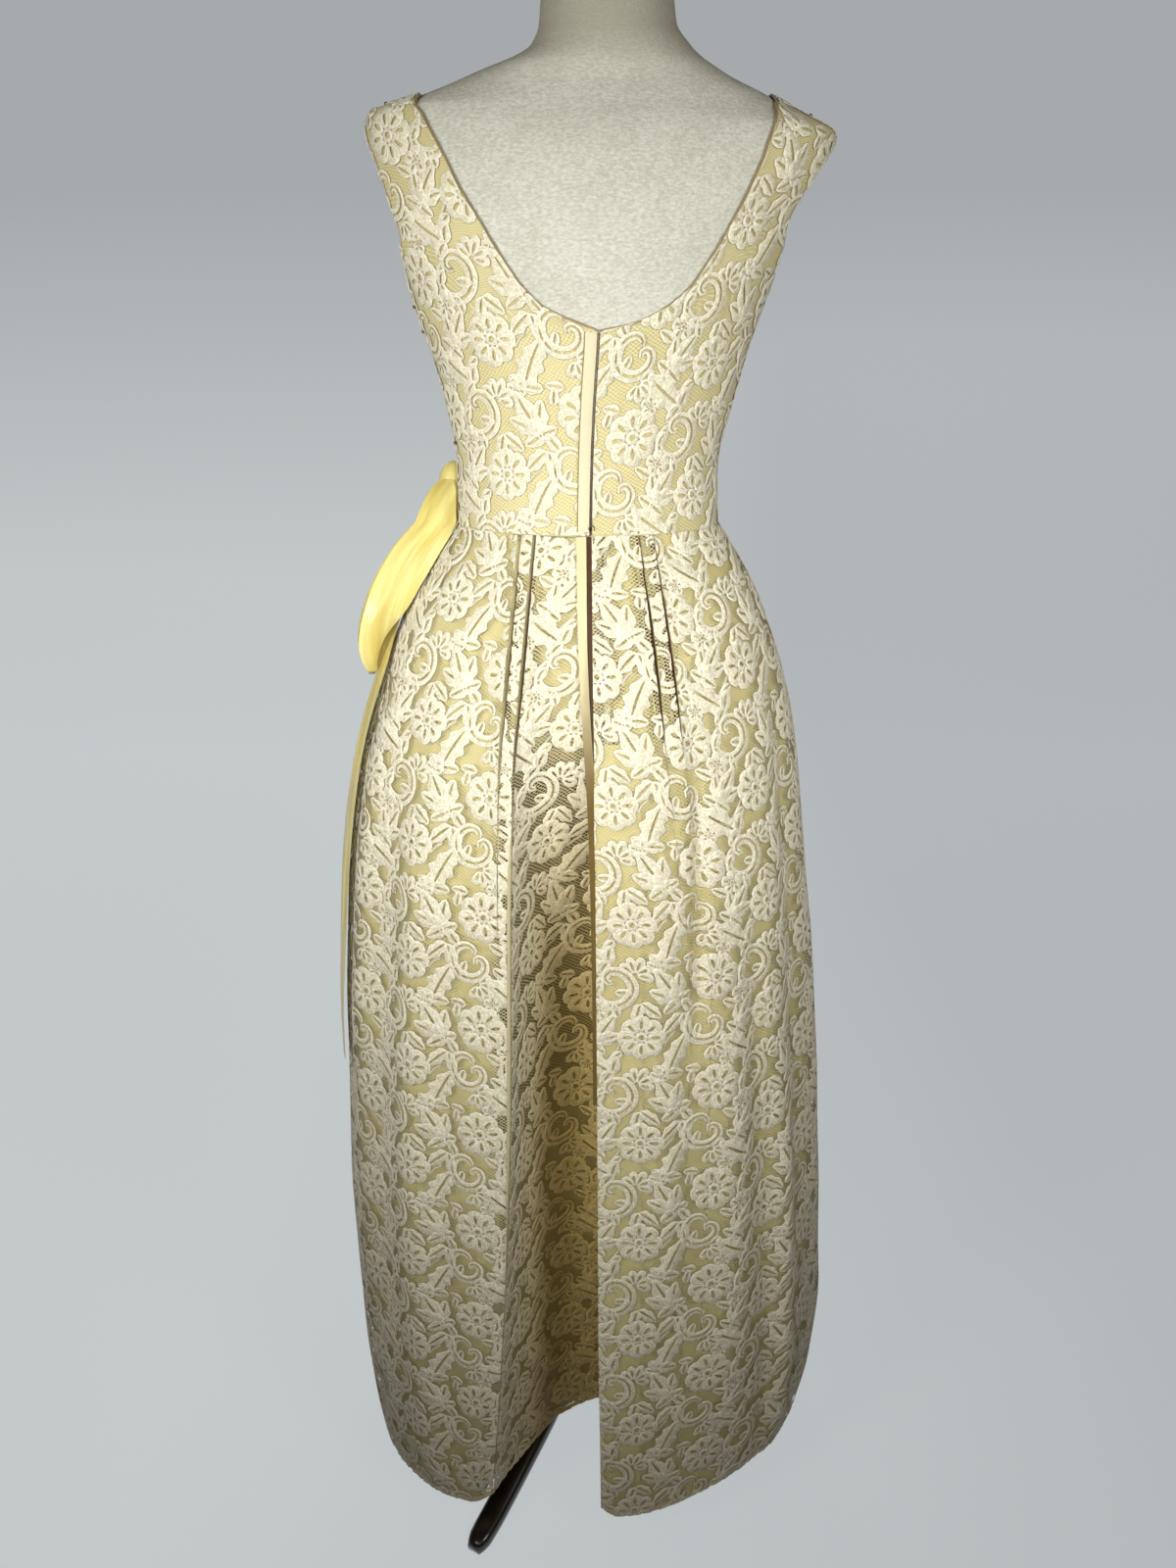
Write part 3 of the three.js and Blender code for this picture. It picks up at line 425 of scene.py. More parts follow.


def net_threads(shader):
    """1 on the net's threads, from two sets of slanting lines that wander a little."""
    uv = shader.cloth()
    shift = shader.math("MULTIPLY", shader.noise(uv, NET_WANDER_SCALE, 2.0), NET_WANDER)
    u, v = shader.axis(uv, 0), shader.axis(uv, 1)
    lines = []
    for slant in NET_SLANTS:
        across = shader.math("ADD", shader.math("MULTIPLY", u, slant), v)
        phase = shader.math("DIVIDE", shader.math("ADD", across, shift), NET_PITCH)
        off = shader.math("ABSOLUTE", shader.math("SUBTRACT", shader.math("FRACT", phase), 0.5))
        lines.append(shader.math("LESS_THAN", off, NET_THREAD / NET_PITCH / 2))
    return shader.math("MAXIMUM", lines[0], lines[1])


# Painted shade for the open fold: a brown multiplied into the net and motifs down in it.
FOLD_SHADE_COLOUR = (228, 206, 146)


def painted_fold_shade(shader, colour):
    """The colour with painted shade and painted reflected light from the satin: a brown multiplied in where
    the fold attribute is 1.
    """
    return shader.mix(shader.attribute("fold"), colour, rgb(*FOLD_SHADE_COLOUR), "MULTIPLY")


def net_material():
    """Fine threads over nothing, whole cloth at the hem, and whole cloth in painted brown shade down in the
    pressed pleats, with the fold's painted shade over all.
    """
    s = Shader("lace_net")
    deep = s.attribute("deep")
    # Painted shade: brown where deep is 1, down in a trench.
    colour = painted_fold_shade(s, s.mix(deep, rgb(228, 219, 176), rgb(122, 88, 44)))
    thread = s.principled({"Base Color": colour, "Roughness": 0.85, "Sheen Weight": 0.15})
    clear = s.node("BsdfTransparent")
    at_hem = s.math("GREATER_THAN", s.attribute("hem"), HEM_COVER)
    covered = s.math("MAXIMUM", s.math("GREATER_THAN", deep, 0.5), at_hem)
    solid = s.math("MAXIMUM", net_threads(s), covered)
    return s.finish(s.node("MixShader", {0: solid, 1: clear, 2: thread}))


def motif_material():
    """Dense stitched cloth of the motifs: a pale cord, its whiter thread with a painted highlight, inside
    painted shade along the outline, and darker cores, stitched veins on leaves and painted shade round the
    slits of petals.
    """
    s = Shader("lace_motif")
    place = s.place()
    edge, vein = s.attribute("edge"), s.attribute("vein")
    weave = s.noise(place, 1100.0, 2.0)
    stitches = s.ramp(s.noise(place, 480.0, 3.0, 0.7), 0.38, 0.6)
    tint = s.noise(place, 14.0, 3.0)
    cloth = s.mix(tint, rgb(240, 236, 215), rgb(249, 247, 231))
    stitched = s.mix(stitches, rgb(216, 209, 178), cloth)
    # Darker towards each shape's core: stitched veins on leaves, and painted shade round the slits of
    # petals and discs.
    veined_and_shaded = s.mix(s.ramp(vein, 0.8, 0.1), stitched, rgb(186, 172, 122))
    # The cord's whiter thread, with a painted highlight on its raised crest.
    cord_and_highlight = s.math("MULTIPLY", s.ramp(edge, 1.4, 0.9), 0.6)
    corded = s.mix(cord_and_highlight, veined_and_shaded, rgb(253, 251, 240))
    # Painted shade along each motif's outline, where it stands off the net.
    colour = s.mix(s.ramp(edge, 0.5, 0.05), corded, rgb(150, 132, 80))
    inputs = {
        "Base Color": painted_fold_shade(s, colour),
        "Roughness": 0.8,
        "Sheen Weight": 0.2,
        "Sheen Roughness": 0.4,
        "Normal": s.bump(s.math("ADD", weave, stitches), 0.5, 0.0007),
    }
    return s.finish(s.principled(inputs))


def lining_material():
    """Satin with painted shade, brown where the shade attribute is 1, in the hollow of the fold."""
    s = Shader("lining_satin")
    satin = s.mix(s.noise(s.place(), 9.0, 4.0), rgb(206, 194, 121), rgb(230, 221, 155))
    inputs = {
        "Base Color": s.mix(s.attribute("shade"), satin, rgb(88, 64, 28)),
        "Roughness": 0.5,
        "Normal": s.bump(s.satin_threads(), 0.08, 0.0004),
    }
    return s.finish(s.principled(inputs))


def ribbon_material():
    """Satin ribbon, creased along its length, with painted shade in its creases."""
    s = Shader("ribbon_satin")
    creases = s.noise(s.scaled(s.cloth(), (0.075, 0.009, 1.0)), 1.0, 1.6)
    # Painted shade: darker satin down in the creases.
    crease_shaded = s.mix(s.ramp(creases, 0.36, 0.58), rgb(214, 196, 108), rgb(238, 227, 150))
    fine = s.bump(s.satin_threads(), 0.05, 0.0004)
    inputs = {
        "Base Color": crease_shaded,
        "Roughness": 0.34,
        "Sheen Weight": 0.2,
        "Sheen Roughness": 0.35,
        "Normal": s.node("Bump", {"Height": creases, "Strength": 0.6, "Distance": 0.008, "Normal": fine}),
    }
    return s.finish(s.principled(inputs))


def mounted_material():
    """The bodice's ground: satin with the lace's net laid on it."""
    s = Shader("lace_on_satin")
    threads = net_threads(s)
    satin = s.mix(s.noise(s.place(), 12.0), rgb(188, 176, 113), rgb(212, 202, 143))
    inputs = {
        "Base Color": s.mix(s.math("MULTIPLY", threads, 0.7), satin, rgb(244, 237, 204)),
        "Roughness": 0.6,
        "Sheen Weight": 0.2,
        "Normal": s.bump(threads, 0.6, 0.0008),
    }
    return s.finish(s.principled(inputs))


def linen_material():
    """Coarse linen, with painted shade making it darker near the neck."""
    s = Shader("form_linen")
    place = s.place()
    slub = s.noise(s.scaled(place, (260.0, 260.0, 620.0)), 1.0, 3.0, 0.65)
    warp = s.noise(s.scaled(place, (700.0, 700.0, 240.0)), 1.0, 2.0)
    cloudy = s.noise(place, 26.0, 3.0)
    thick = s.ramp(s.math("ADD", slub, s.math("MULTIPLY", cloudy, 0.3)), 0.5, 0.8)
    ground = s.mix(thick, rgb(188, 189, 178), rgb(222, 223, 215))
    woven = s.mix(s.math("MULTIPLY", warp, 0.3), ground, rgb(184, 181, 165))
    # Painted shade on the linen of the neck.
    wear_and_shade = s.math("MULTIPLY", s.ramp(s.axis(place, 2), *NECK_SHADE_HEIGHTS), 0.75)
    inputs = {
        "Base Color": s.mix(wear_and_shade, woven, rgb(160, 157, 142)),
        "Roughness": 0.95,
        "Normal": s.bump(s.math("ADD", slub, warp), 0.5, 0.001),
    }
    return s.finish(s.principled(inputs))


def wood_material():
    s = Shader("dark_wood")
    grain = s.noise(s.scaled(s.place(), (40.0, 40.0, 8.0)), 1.0, 6.0, 0.6)
    inputs = {
        "Base Color": s.mix(s.ramp(grain, 0.35, 0.65), rgb(16, 13, 11), rgb(38, 28, 22)),
        "Roughness": 0.28,
        "Coat Weight": 0.5,
        "Coat Roughness": 0.15,
        "Normal": s.bump(grain, 0.15, 0.001),
    }
    return s.finish(s.principled(inputs))


def plain_cloth(name, colour, roughness=0.7):
    """Small pieces of cloth in one colour, a little uneven."""
    s = Shader(name)
    place = s.place()
    darker = tuple(c * 0.82 for c in colour[:3]) + (1.0,)
    inputs = {
        "Base Color": s.mix(s.noise(place, 30.0), darker, colour),
        "Roughness": roughness,
        "Normal": s.bump(s.noise(place, 900.0, 2.0), 0.4, 0.0005),
    }
    return s.finish(s.principled(inputs))


def steel_material():
    s = Shader("steel")
    # Random wear on the steel.
    wear_and_shade = s.noise(s.place(), 400.0, 3.0)
    inputs = {
        "Base Color": s.mix(wear_and_shade, rgb(70, 62, 52), rgb(150, 140, 122)),
        "Metallic": 1.0,
        "Roughness": 0.35,
        "Normal": s.bump(wear_and_shade, 0.2, 0.0004),
    }
    return s.finish(s.principled(inputs))


def facing_material():
    """The opening's satin facing: cream at the waist, with painted shade, tan-brown, down in the fold where
    the shade attribute is 1.
    """
    s = Shader("facing_satin")
    # Painted shade: the tan-brown of the facing down in the fold.
    deep = s.mix(s.noise(s.place(), 60.0), rgb(118, 96, 46), rgb(144, 120, 64))
    inputs = {
        "Base Color": s.mix(s.attribute("shade"), rgb(222, 212, 170), deep),
        "Roughness": 0.5,
    }
    return s.finish(s.principled(inputs))


net = net_material()
motif = motif_material()
mounted = mounted_material()
lining_satin = lining_material()
ribbon_satin = ribbon_material()
linen = linen_material()
dark_wood = wood_material()
facing_satin = facing_material()
flap_satin = plain_cloth("flap_satin", rgb(230, 223, 190), 0.6)
edge_cloth = plain_cloth("edge_cloth", rgb(160, 140, 100))
# Zip tape whose dark brown is also painted shadow, in the bodice's slot and down the skirt's opening.
shadow_brown_tape = plain_cloth("shadow_brown_tape", rgb(84, 56, 30))
cream_tape = plain_cloth("cream_tape", rgb(206, 197, 156))
steel = steel_material()


# ---------------------------------------------------------------- lace motifs, charted in millimetres
# A shape is two closed loops of the same number of points: its outline, and the core its rings shrink to.
def turned(points, degrees, at, scale):
    a = math.radians(degrees)
    turn = np.array([[math.cos(a), math.sin(a)], [-math.sin(a), math.cos(a)]])
    return points @ turn * scale + np.array(at)


def moved(shapes, degrees, at, scale=1.0):
    return [tuple(turned(loop, degrees, at, scale) for loop in shape) for shape in shapes]


def petal(length, width, slit, n, start):
    """A rounded petal along +y from the origin, with a teardrop slit."""
    a = loop_angles(n)
    y = (1 - np.cos(a)) / 2
    half = width / 2 * np.sin(a) * (0.55 + 0.6 * y)
    outline = np.stack([half, start + (length - start) * y], 1)
    core = np.stack([half * slit, start + (length - start) * (0.2 + 0.45 * y)], 1)
    return outline, core


def disc(radius, hole, n):
    ring = np.stack([np.sin(loop_angles(n)), -np.cos(loop_angles(n))], 1)
    return ring * radius, ring * hole


def leaf(length, width, lobes, depth, bend=0.0, n=22):
    """A lobed leaf along +y, its rings shrinking to the midrib."""
    t = np.concatenate([np.linspace(0, 1, n, endpoint=False), np.linspace(1, 0, n, endpoint=False)])
    side = np.repeat([1.0, -1.0], n)
    body = np.sin(math.pi * t ** 0.85) ** 0.6
    lobe = 1 - depth * (0.5 + 0.5 * np.cos(2 * math.pi * lobes * t))
    outline = np.stack([side * width / 2 * body * lobe + bend * length * t * t, length * t], 1)
    along = 0.1 + 0.8 * t
    core = np.stack([side * 0.8 * body + bend * length * along ** 2, length * along], 1)
    return outline, core


def band(centre, normal, half):
    """A shape along a line, closed round its two sides."""
    half = np.broadcast_to(half, (len(centre),))[:, None]
    outline = np.concatenate([centre + normal * half, (centre - normal * half)[::-1]])
    core = np.concatenate([centre + normal * half * 0.12, (centre - normal * half * 0.12)[::-1]])
    return outline, core


def scroll(length, arc_radius, width, n=30):
    """A C-shaped band whose two ends curl in tightly."""
    u = np.linspace(-1, 1, n)
    step = length / (n - 1)
    heading = np.cumsum(1 / arc_radius + 0.24 * np.abs(u) ** 5) * step
    heading -= heading[n // 2]
    centre = np.stack([-np.cumsum(np.sin(heading)), np.cumsum(np.cos(heading))], 1) * step
    centre -= centre.mean(axis=0)
    normal = np.stack([np.cos(heading), np.sin(heading)], 1)
    return band(centre, normal, width / 2 * (1 - 0.45 * np.abs(u) ** 1.5))


def stem(points, width=2.2, n=16):
    """A thin band along a bent line, its bends rounded."""
    p = np.array(points, float)
    k = np.linspace(0, len(p) - 1, n)
    centre = np.stack([np.interp(k, range(len(p)), p[:, i]) for i in (0, 1)], 1)
    for _ in range(3):
        centre[1:-1] = (centre[:-2] + 2 * centre[1:-1] + centre[2:]) / 4
    along = unit(np.gradient(centre, axis=0))
    return band(centre, np.stack([along[:, 1], -along[:, 0]], 1), width / 2)


def flower(eye, one, petals):
    """Like petals all round an eye."""
    shapes = [eye]
    for k in range(petals):
        shapes += moved([one], 360 * k / petals, (0, 0))
    return shapes


def rosette(radius=23.5):
    one = petal(radius, radius * 0.78, 0.16, 12, radius * 0.22)
    return flower(disc(radius * 0.26, radius * 0.09, 10), one, 8)


def small_flower(radius=11.5):
    one = petal(radius, radius * 1.1, 0.1, 8, radius * 0.2)
    return flower(disc(radius * 0.26, radius * 0.1, 6), one, 5)


def fan(radius=19.0, lobes=5, spread=150):
    shapes = []
    for k in range(lobes):
        away = k / (lobes - 1) - 0.5
        one = petal(radius * (1 - 0.3 * abs(away)), radius * 0.54, 0.2, 10, radius * 0.08)
        shapes += moved([one], -spread * away, (0, 0))
    return shapes


def scroll_and_fan():
    shapes = moved([scroll(104, 17.0, 11.5)], 15, (0, -9))
    shapes += moved([leaf(17, 9, 0.5, 0.0, n=8)], -60, (1, -12))
    return shapes + moved(fan(), 10, (7.0, 12.5))


def oak_leaf():
    """A spray of five lobed leaflets."""
    shapes = moved([leaf(37, 19, 2.5, 0.22, n=15)], 0, (0, -14))
    for side in (1, -1):
        shapes += moved([leaf(29, 18, 2.5, 0.22, bend=0.1 * side, n=14)], 48 * side, (3 * side, -14))
        shapes += moved([leaf(19, 14, 1.5, 0.15, bend=0.1 * side, n=10)], 100 * side, (3.0 * side, -16))
    return shapes


def serrated_leaf():
    """A long leaf with a lobed pair of leaflets at its foot."""
    shapes = moved([leaf(41, 24, 3.5, 0.3, bend=0.12, n=24)], 0, (-2, -18))
    for side in (1, -1):
        shapes += moved([leaf(18, 13, 1.5, 0.15, n=8)], 78 * side, (2 * side - 2, -18))
    return shapes


def twin_leaves():
    shapes = []
    for side in (1, -1):
        shapes += moved([leaf(25, 15, 2.5, 0.22, bend=0.1 * side, n=13)], 38 * side, (0, -9))
    return shapes


def bud():
    return moved([leaf(19, 12, 1.5, 0.15, n=9)], 0, (0, -9))


# One repeat of the lace: motif, x, y, turn in degrees, scale.
TILE = (134.0, 106.0)
LAYOUT = (
    (rosette, 24, 26, 10, 1.0),
    (scroll_and_fan, 71, 32, -38, 1.0),
    (oak_leaf, 112, 24, 28, 1.0),
    (small_flower, 50, 5, 0, 1.0),
    (serrated_leaf, 47, 61, 62, 1.05),
    (scroll_and_fan, 17, 82, 222, 0.95),
    (rosette, 88, 84, 0, 0.92),
    (oak_leaf, 54, 90, -35, 0.9),
    (serrated_leaf, 119, 64, -20, 1.0),
    (small_flower, 104, 47, 20, 0.8),
    (twin_leaves, 122, 95, 165, 1.0),
    (small_flower, 34, 51, 0, 0.75),
    (twin_leaves, 90, 3, 200, 0.9),
    (bud, 51, 27, -20, 1.0),
    (bud, 37, 104, 60, 0.9),
    (bud, 66, 66, 130, 0.8),
    (bud, 130, 4, 40, 1.0),
    (bud, 2, 48, 80, 0.85),
    (bud, 134, 40, -10, 0.8),
    (bud, 66, 110, 20, 0.8),
)
STEMS = (
    ((52, 32), (56, 42), (52, 56)),
    ((92, 36), (96, 42), (98, 46)),
    ((58, 62), (66, 72), (70, 78)),
    ((108, 78), (112, 84), (118, 88)),
)
CORD_INSET = 0.6
RING_HEIGHTS = (0.3, 0.95, 0.6)  # over the net: outline, crest, core


def tile_shapes():
    """The repeat's shapes, each an outline and a core."""
    shapes = []
    for make, x, y, turn, scale in LAYOUT:
        shapes += moved(make(), turn, (x, y), scale)
    return shapes + [stem(line) for line in STEMS]


def repeat_arrays():
    """All points of the repeat, their heights, their distances from outline and core, and its faces."""
    places, heights, distances, faces = [], [], [], []
    count = 0
    for outline, core in tile_shapes():
        n = len(outline)
        inward = core - outline
        reach = np.linalg.norm(inward, axis=1)
        share = np.minimum(0.5, CORD_INSET / np.maximum(reach, 1e-6))
        places += [outline, outline + inward * share[:, None], core]
        heights += [np.full(n, height) for height in RING_HEIGHTS]
        for ring in (0 * reach, share * reach, reach):
            distances.append(np.stack([ring, reach - ring], 1))
        i = np.arange(n)
        k = (i + 1) % n
        for a in (count, count + n):
            faces.append(np.stack([a + i, a + k, a + n + k, a + n + i], 1))
        count += 3 * n
    return tuple(np.concatenate(part) for part in (places, heights, distances, faces))


REPEAT = repeat_arrays()


class Patch:
    """A stretch of a panel as a grid of rows, with each point's length along the cloth."""

    def __init__(self, points, along, height):
        self.points = points
        self.normals = grid_normals(points)
        self.along = along
        self.height = height
        self.columns = np.arange(points.shape[1])

    def row_at(self, j, s):
        column = np.interp(s, self.along[j], self.columns)
        i = np.minimum(column.astype(int), len(self.columns) - 2)
        share = (column - i)[:, None]
        point = mix(self.points[j, i], self.points[j, i + 1], share)
        normal = mix(self.normals[j, i], self.normals[j, i + 1], share)
        inside = (s >= self.along[j, 0]) & (s <= self.along[j, -1])
        return point, normal, inside

    def place(self, s, t):
        """Points and normals of places on the cloth, and which of them lie within it."""
        rows = len(self.height)
        row = np.interp(t, self.height, np.arange(rows))
        low = np.clip(row.astype(int), 0, rows - 2)
        point, normal = np.empty((2, len(s), 3))
        inside = (t >= self.height[0]) & (t <= self.height[-1])
        for j in np.unique(low):
            at = np.flatnonzero(low == j)
            share = (row[at] - j)[:, None]
            lower, upper = self.row_at(j, s[at]), self.row_at(j + 1, s[at])
            point[at] = mix(lower[0], upper[0], share)
            normal[at] = mix(lower[1], upper[1], share)
            inside[at] &= lower[2] | upper[2]
        return point, unit(normal), inside


def tiles_over(lowest, highest, shift, size):
    """The numbers of the repeats that may reach between two lengths."""
    return range(math.floor((lowest - shift) / size) - 1, math.ceil((highest - shift) / size) + 1)


def lace_arrays(patch, shift):
    """The motifs that lie on a patch: points, distances and faces, with the repeat moved by a shift."""
    repeat, height, distance, faces = REPEAT
    across = tiles_over(patch.along.min(), patch.along.max(), shift[0], TILE[0])
    up = tiles_over(patch.height[0], patch.height[-1], shift[1], TILE[1])
    corners = np.array([(i * TILE[0], j * TILE[1]) for i in across for j in up]) + np.array(shift)
    flat = (corners[:, None] + repeat).reshape(-1, 2)
    point, normal, inside = patch.place(flat[:, 0], flat[:, 1])
    lifted = point + normal * np.tile(height, len(corners))[:, None]
    every = (np.arange(len(corners))[:, None, None] * len(repeat) + faces).reshape(-1, 4)
    every = every[inside[every].any(axis=1)]
    used = np.unique(every)
    renumber = np.zeros(len(flat), int)
    renumber[used] = np.arange(len(used))
    return lifted[used], np.tile(distance, (len(corners), 1))[used], renumber[every]


FOLD_SHADE_DEPTH = 95.0
FOLD_SHADE_BESIDE = 5.0


# This share sets the painted shade of the net and motifs in the fold.
def fold_shade_share(points):
    """How deep places lie in the open fold, from 0 on the skirt's face to 1 on the fold's bed."""
    x, y, z = np.moveaxis(points, -1, 0)
    ring = skirt_sections(z)
    face = ring_point(ring, z, angle_at_x(ring, x))[..., 1]
    inside = (z < WAIST_Z) & (y > 0) & (np.abs(x) < back_fold(z)["left_edge"] + FOLD_SHADE_BESIDE)
    return np.where(inside, smooth((face - y) / FOLD_SHADE_DEPTH), 0.0)


def lace_piece(name, patches, shift):
    """One mesh of motifs over several patches."""
    points, distances, faces = [], [], []
    count = 0
    for patch in patches:
        some, distance, quads = lace_arrays(patch, shift)
        points.append(some)
        distances.append(distance)
        faces.append(quads + count)
        count += len(some)
    places = np.concatenate(points)
    edge, vein = np.concatenate(distances).T
    # fold carries the painted shade of the motifs down in the open fold.
    values = {"edge": edge, "vein": vein, "fold": fold_shade_share(places)}
    return mesh_piece(name, places, np.concatenate(faces), motif, values=values)


# ---------------------------------------------------------------- skirt lace
SEAM_ANGLE = math.radians(0.05)
TURN_IN = 3.2  # how sharply the cloth turns into the centre-back fold
TURN_IN_AT_HEM = 1.7
TURN_IN_LOW_Z = 120.0
TURN_IN_RUN = 440.0
TRENCH_DEPTH = 12.0
TRENCH_FADE = 110.0
TRENCH_AT_WAIST = 0.45  # of its full width and depth, which it reaches TRENCH_OPENS below the waist
TRENCH_OPENS = 90.0
TRENCH_LIP = 0.15  # of its depth, where its walls start
TRENCH_SHADE_FROM, TRENCH_SHADE_RUN = 1.5, 3.0  # depth at which painted shade starts in a trench, and how fast it grows
PLEAT_WIDTH = 3.4
PLEAT_BACK = 11.0
PLEAT_TRENCH_END_Z = 806.0
FOLD_PLEAT_WIDTH = 1.8
FOLD_PLEAT_END_Z = 800.0
FOLD_PLEATS = ((11.0, 5.0), (0.0, 4.0))  # distance from the fold's edge, and height of the ridge
UNDERLAP = 14.0
BED_HEM_RISE = 22.0
CORNER_RISE = 0.9  # of the bed's rise, at the fold's edges
BED_RISE = 1.45
CORNER_WIDTH = 32.0
RIGHT_CORNER_RISE = 0.6
RIGHT_CORNER_WIDTH = 18.0
RIGHT_DROOP = 0.55
RIGHT_DROOP_AT = 40.0
RIGHT_DROOP_WIDTH = 60.0
HEM_SHAPE_REACH = 400.0
RETURN_SLANT = 10.0
RETURN_COLUMNS = 9
RETURN_STEP = -9.0  # along its cloth, from one column to the next
SKIRT_ROWS = np.linspace(0.0, 966.7, 105)
# Where the lace's repeat is counted from, in degrees round the gown, and how far it is moved from there.
LACE_REFERENCES = {"left": 58, "right": 118, "front": -90}
LACE_SHIFTS = {"left": (20, 12), "right": (-30, 30), "front": (0, 0)}


def turn_in(t, sharpness=TURN_IN):
    return 1 - (1 - np.clip(t, 0, 1)) ** sharpness


def fold_turn(t, z):
    """How far the cloth has turned into the fold: gently near the hem and sharply above."""
    return turn_in(t, mix(TURN_IN_AT_HEM, TURN_IN, smooth((z - TURN_IN_LOW_Z) / TURN_IN_RUN)))


def pleat_fade(z):
    return smooth((z - PLEAT_FADE_Z) / (PLEAT_FULL_Z - PLEAT_FADE_Z))


class Pleat:
    """A pressed pleat: a soft ridge that ends at an edge, and a narrow trench on the side it faces."""

    def __init__(self, edge, faces, height, width, end_z):
        self.edge = edge
        self.faces = faces
        self.height = height
        self.width = width
        self.end_z = end_z

    def trench(self, z):
        """Its width and depth at a height."""
        opened = mix(TRENCH_AT_WAIST, 1.0, smooth((WAIST_Z - z) / TRENCH_OPENS))
        share = smooth((z - self.end_z) / TRENCH_FADE) * opened
        return self.width * share, TRENCH_DEPTH * share

    def ridge(self, x, z):
        near = (self.edge(z) - x) * self.faces
        return np.where(near > -0.01, self.height * pleat_fade(z) * np.exp(-((near / PLEAT_BACK) ** 2)), 0)


def straight_pleat(top, end, height, faces):
    """A pleat whose edge runs straight from the waist, and on below its end."""
    def edge(z):
        return mix(top, end, np.clip((WAIST_Z - z) / (WAIST_Z - PLEAT_END_Z), 0, 1.6))
    return Pleat(edge, faces, height, PLEAT_WIDTH, PLEAT_TRENCH_END_Z)


def fold_pleat(step, height):
    """A pleat that runs beside the open fold's left edge."""
    return Pleat(lambda z: back_fold(z)["left_edge"] + step, -1, height, FOLD_PLEAT_WIDTH, FOLD_PLEAT_END_Z)


LEFT_PLEATS = [fold_pleat(*pleat) for pleat in FOLD_PLEATS]
RIGHT_PLEATS = [straight_pleat(**pleat) for pleat in BACK_RIGHT_PLEATS]
FRONT_FOLDS = [straight_pleat(**pleat) for pleat in FRONT_PLEATS]

# Each crease starts to fade a little way past its two heights.
CREASE_RADIUS = 230.0
CREASE_LOW_PAST, CREASE_LOW_FADE = 60.0, 140.0
CREASE_HIGH_PAST, CREASE_HIGH_FADE = 50.0, 170.0
# Soft troughs and ridges: angle round the skirt at the top and at the bottom in degrees, the two heights,
# depth (a trough's is negative) and half-width.
CREASES = np.array([
    # back left
    (16, 14, 900, 380, -5.0, 24), (31, 27, 960, 520, 3.5, 22), (40, 37, 780, 210, -6.0, 26),
    (52, 50, 880, 60, 5.0, 24), (60, 58, 640, 120, -4.0, 15),
    # back right
    (117, 113, 850, 600, -9.0, 9), (104, 103, 760, 300, 4.0, 16), (121, 119, 600, 150, 5.0, 22),
    (131, 133, 700, 60, -5.0, 17), (141, 139, 520, 60, 6.5, 20), (152, 149, 900, 330, -5.5, 24),
    (166, 163, 700, 120, 4.5, 22),
    # front
    (-20, -22, 880, 330, -5.0, 26), (-34, -37, 720, 90, 5.0, 24), (-52, -50, 800, 300, -6.0, 22),
    (-66, -65, 700, 60, 5.5, 20), (-84, -86, 620, 160, -5.0, 24), (-101, -99, 760, 80, 5.0, 22),
    (-118, -119, 700, 260, -6.0, 24), (-134, -131, 640, 60, 5.0, 26), (-150, -152, 900, 420, -4.5, 24),
    (-166, -164, 600, 90, 4.0, 22),
], float)


def crease_relief(angle, z):
    """Height of the soft creases at places on the skirt."""
    total = np.zeros(np.broadcast(angle, z).shape)
    for top, low, high_z, low_z, depth, width in CREASES:
        share = np.clip((high_z - z) / (high_z - low_z), 0, 1)
        off = (angle - np.radians(mix(top, low, share))) * CREASE_RADIUS
        fade_in = smooth((z - low_z + CREASE_LOW_PAST) / CREASE_LOW_FADE)
        fade_out = smooth((high_z + CREASE_HIGH_PAST - z) / CREASE_HIGH_FADE)
        total += depth * (fade_in * fade_out) * np.exp(-((off / width) ** 2))
    return total


def shape_hem(points, rows, bed_share=0.0):
    """The hem is tilted, and the bed of the fold hangs a little higher than the rest."""
    fade = 1 - smooth(rows / HEM_SHAPE_REACH)
    points[..., 2] += (BED_HEM_RISE * bed_share - HEM_TILT * points[..., 0]) * fade
    return points


def bed_hem(across):
    """The share of the bed's hem rise, from the fold's edge at 0 to its far side at 1."""
    return mix(CORNER_RISE, BED_RISE, across)


def corner_hem(beside):
    """The share of the hem's rise at a rounded corner, from the distance to the fold's edge."""
    return CORNER_RISE * np.clip(1 - beside / CORNER_WIDTH, 0, 1) ** 2


def right_hem(beside):
    """The same for the right panel, which hangs a little lower beside the fold."""
    corner = RIGHT_CORNER_RISE * np.clip(1 - beside / RIGHT_CORNER_WIDTH, 0, 1) ** 2
    return corner - RIGHT_DROOP * np.exp(-(((beside - RIGHT_DROOP_AT) / RIGHT_DROOP_WIDTH) ** 2))


